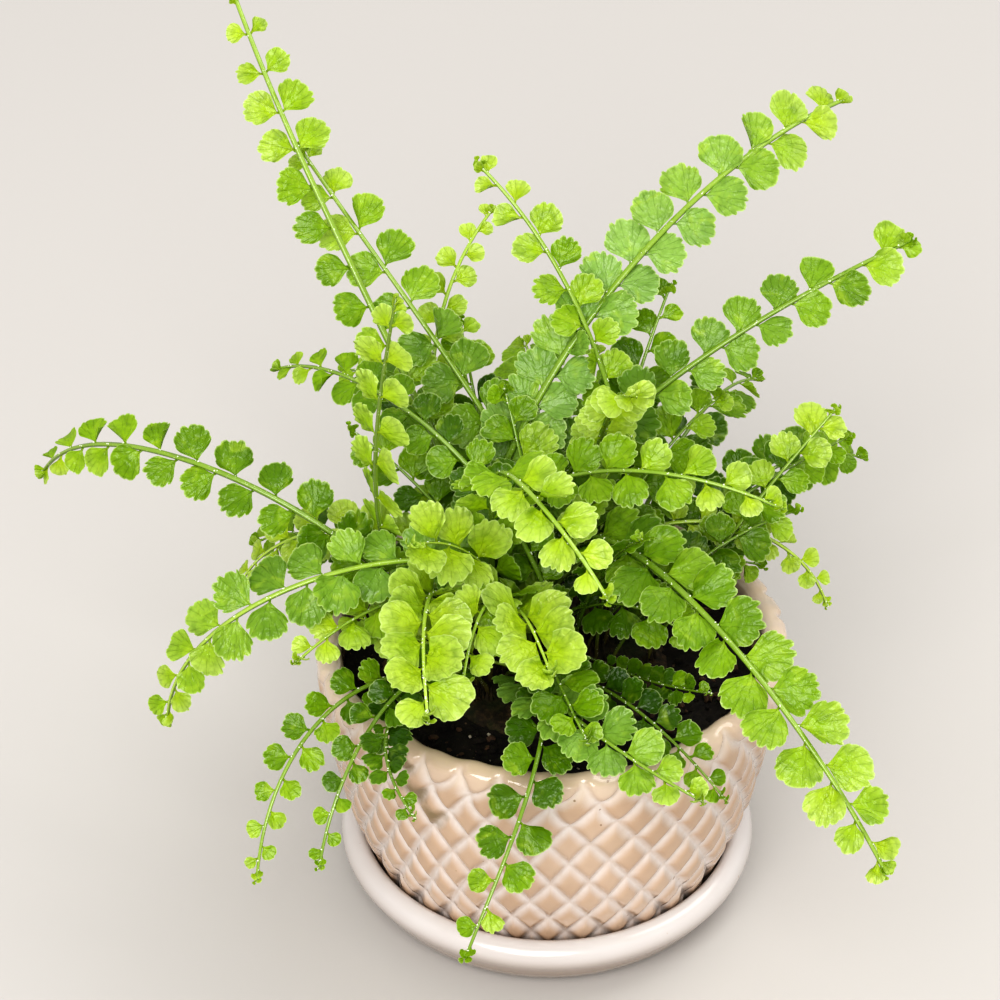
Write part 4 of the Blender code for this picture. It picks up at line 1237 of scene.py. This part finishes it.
# ---------------------------------------------------------------- camera, floor and light
def camera():
    f, dist = 3600.0, 1.0405
    e, roll = radians(36.79), radians(0.53)
    right, fwd, up = np.array([1.0, 0, 0]), np.array([0, cos(e), -sin(e)]), np.array([0, sin(e), cos(e)])
    r2, u2 = cos(roll) * right + sin(roll) * up, -sin(roll) * right + cos(roll) * up
    d = unit(np.array([(548.0 - 500) / f, -(755.4 - 500) / f, 1.0]))
    eye = np.array([0, 0, 0.040]) - dist * (d[0] * r2 + d[1] * u2 + d[2] * fwd)
    data = bpy.data.cameras.new("studio_camera")
    data.sensor_width = 36.0
    data.sensor_fit = 'HORIZONTAL'
    data.lens = f * 36.0 / 1000.0
    data.clip_start = 0.05
    data.clip_end = 20.0
    cam = bpy.data.objects.new("studio_camera", data)
    cam.matrix_world = Matrix(((r2[0], u2[0], -fwd[0], eye[0]), (r2[1], u2[1], -fwd[1], eye[1]),
                               (r2[2], u2[2], -fwd[2], eye[2]), (0, 0, 0, 1)))
    bpy.context.scene.collection.objects.link(cam)
    bpy.context.scene.camera = cam


def area(name, place, aim, size, power, colour=(1, 1, 1)):
    data = bpy.data.lights.new(name, 'AREA')
    data.shape = 'DISK'
    data.size = size
    data.energy = power
    data.color = colour
    obj = bpy.data.objects.new(name, data)
    obj.location = place
    obj.rotation_euler = (Vector(aim) - Vector(place)).to_track_quat('-Z', 'Y').to_euler()
    bpy.context.scene.collection.objects.link(obj)


def studio():
    mat, nodes, links, shader, out = new_material("studio_floor")
    coord = nodes.new("ShaderNodeTexCoord").outputs["Object"]
    tint = noise_node(nodes, links, coord, 1.5, 2.0)
    links.new(ramp(nodes, links, tint, [(0.3, (0.548, 0.528, 0.505)), (0.7, (0.554, 0.534, 0.511))]),
              shader.inputs["Base Color"])
    shader.inputs["Roughness"].default_value = 0.9
    shader.inputs["Specular IOR Level"].default_value = 0.2
    floor = make_piece("studio_floor", [(-6000, -6000, -0.2), (6000, -6000, -0.2), (6000, 6000, -0.2), (-6000, 6000, -0.2)],
                       [(0, 1, 2), (0, 2, 3)], [mat])
    world = bpy.data.worlds.new("studio_world")
    bpy.context.scene.world = world
    world.use_nodes = True
    back = world.node_tree.nodes.get("Background") or world.node_tree.nodes.new("ShaderNodeBackground")
    back.inputs["Strength"].default_value = 0.58
    back.inputs["Color"].default_value = (1.0, 0.992, 0.985, 1.0)
    area("key", (1.0, 0.5, 2.2), (0, 0, 0.1), 1.6, 14.5, (1.0, 0.985, 0.965))
    area("front_fill", (-0.35, -2.0, 1.8), (0, 0, 0.08), 2.0, 48.5, (1.0, 0.99, 0.985))
    bpy.context.scene.view_settings.view_transform = 'Standard'
    bpy.context.scene.view_settings.look = 'High Contrast'


camera()
studio()
pot()
saucer()
soil()
crumbs()
crown()
build_fronds()
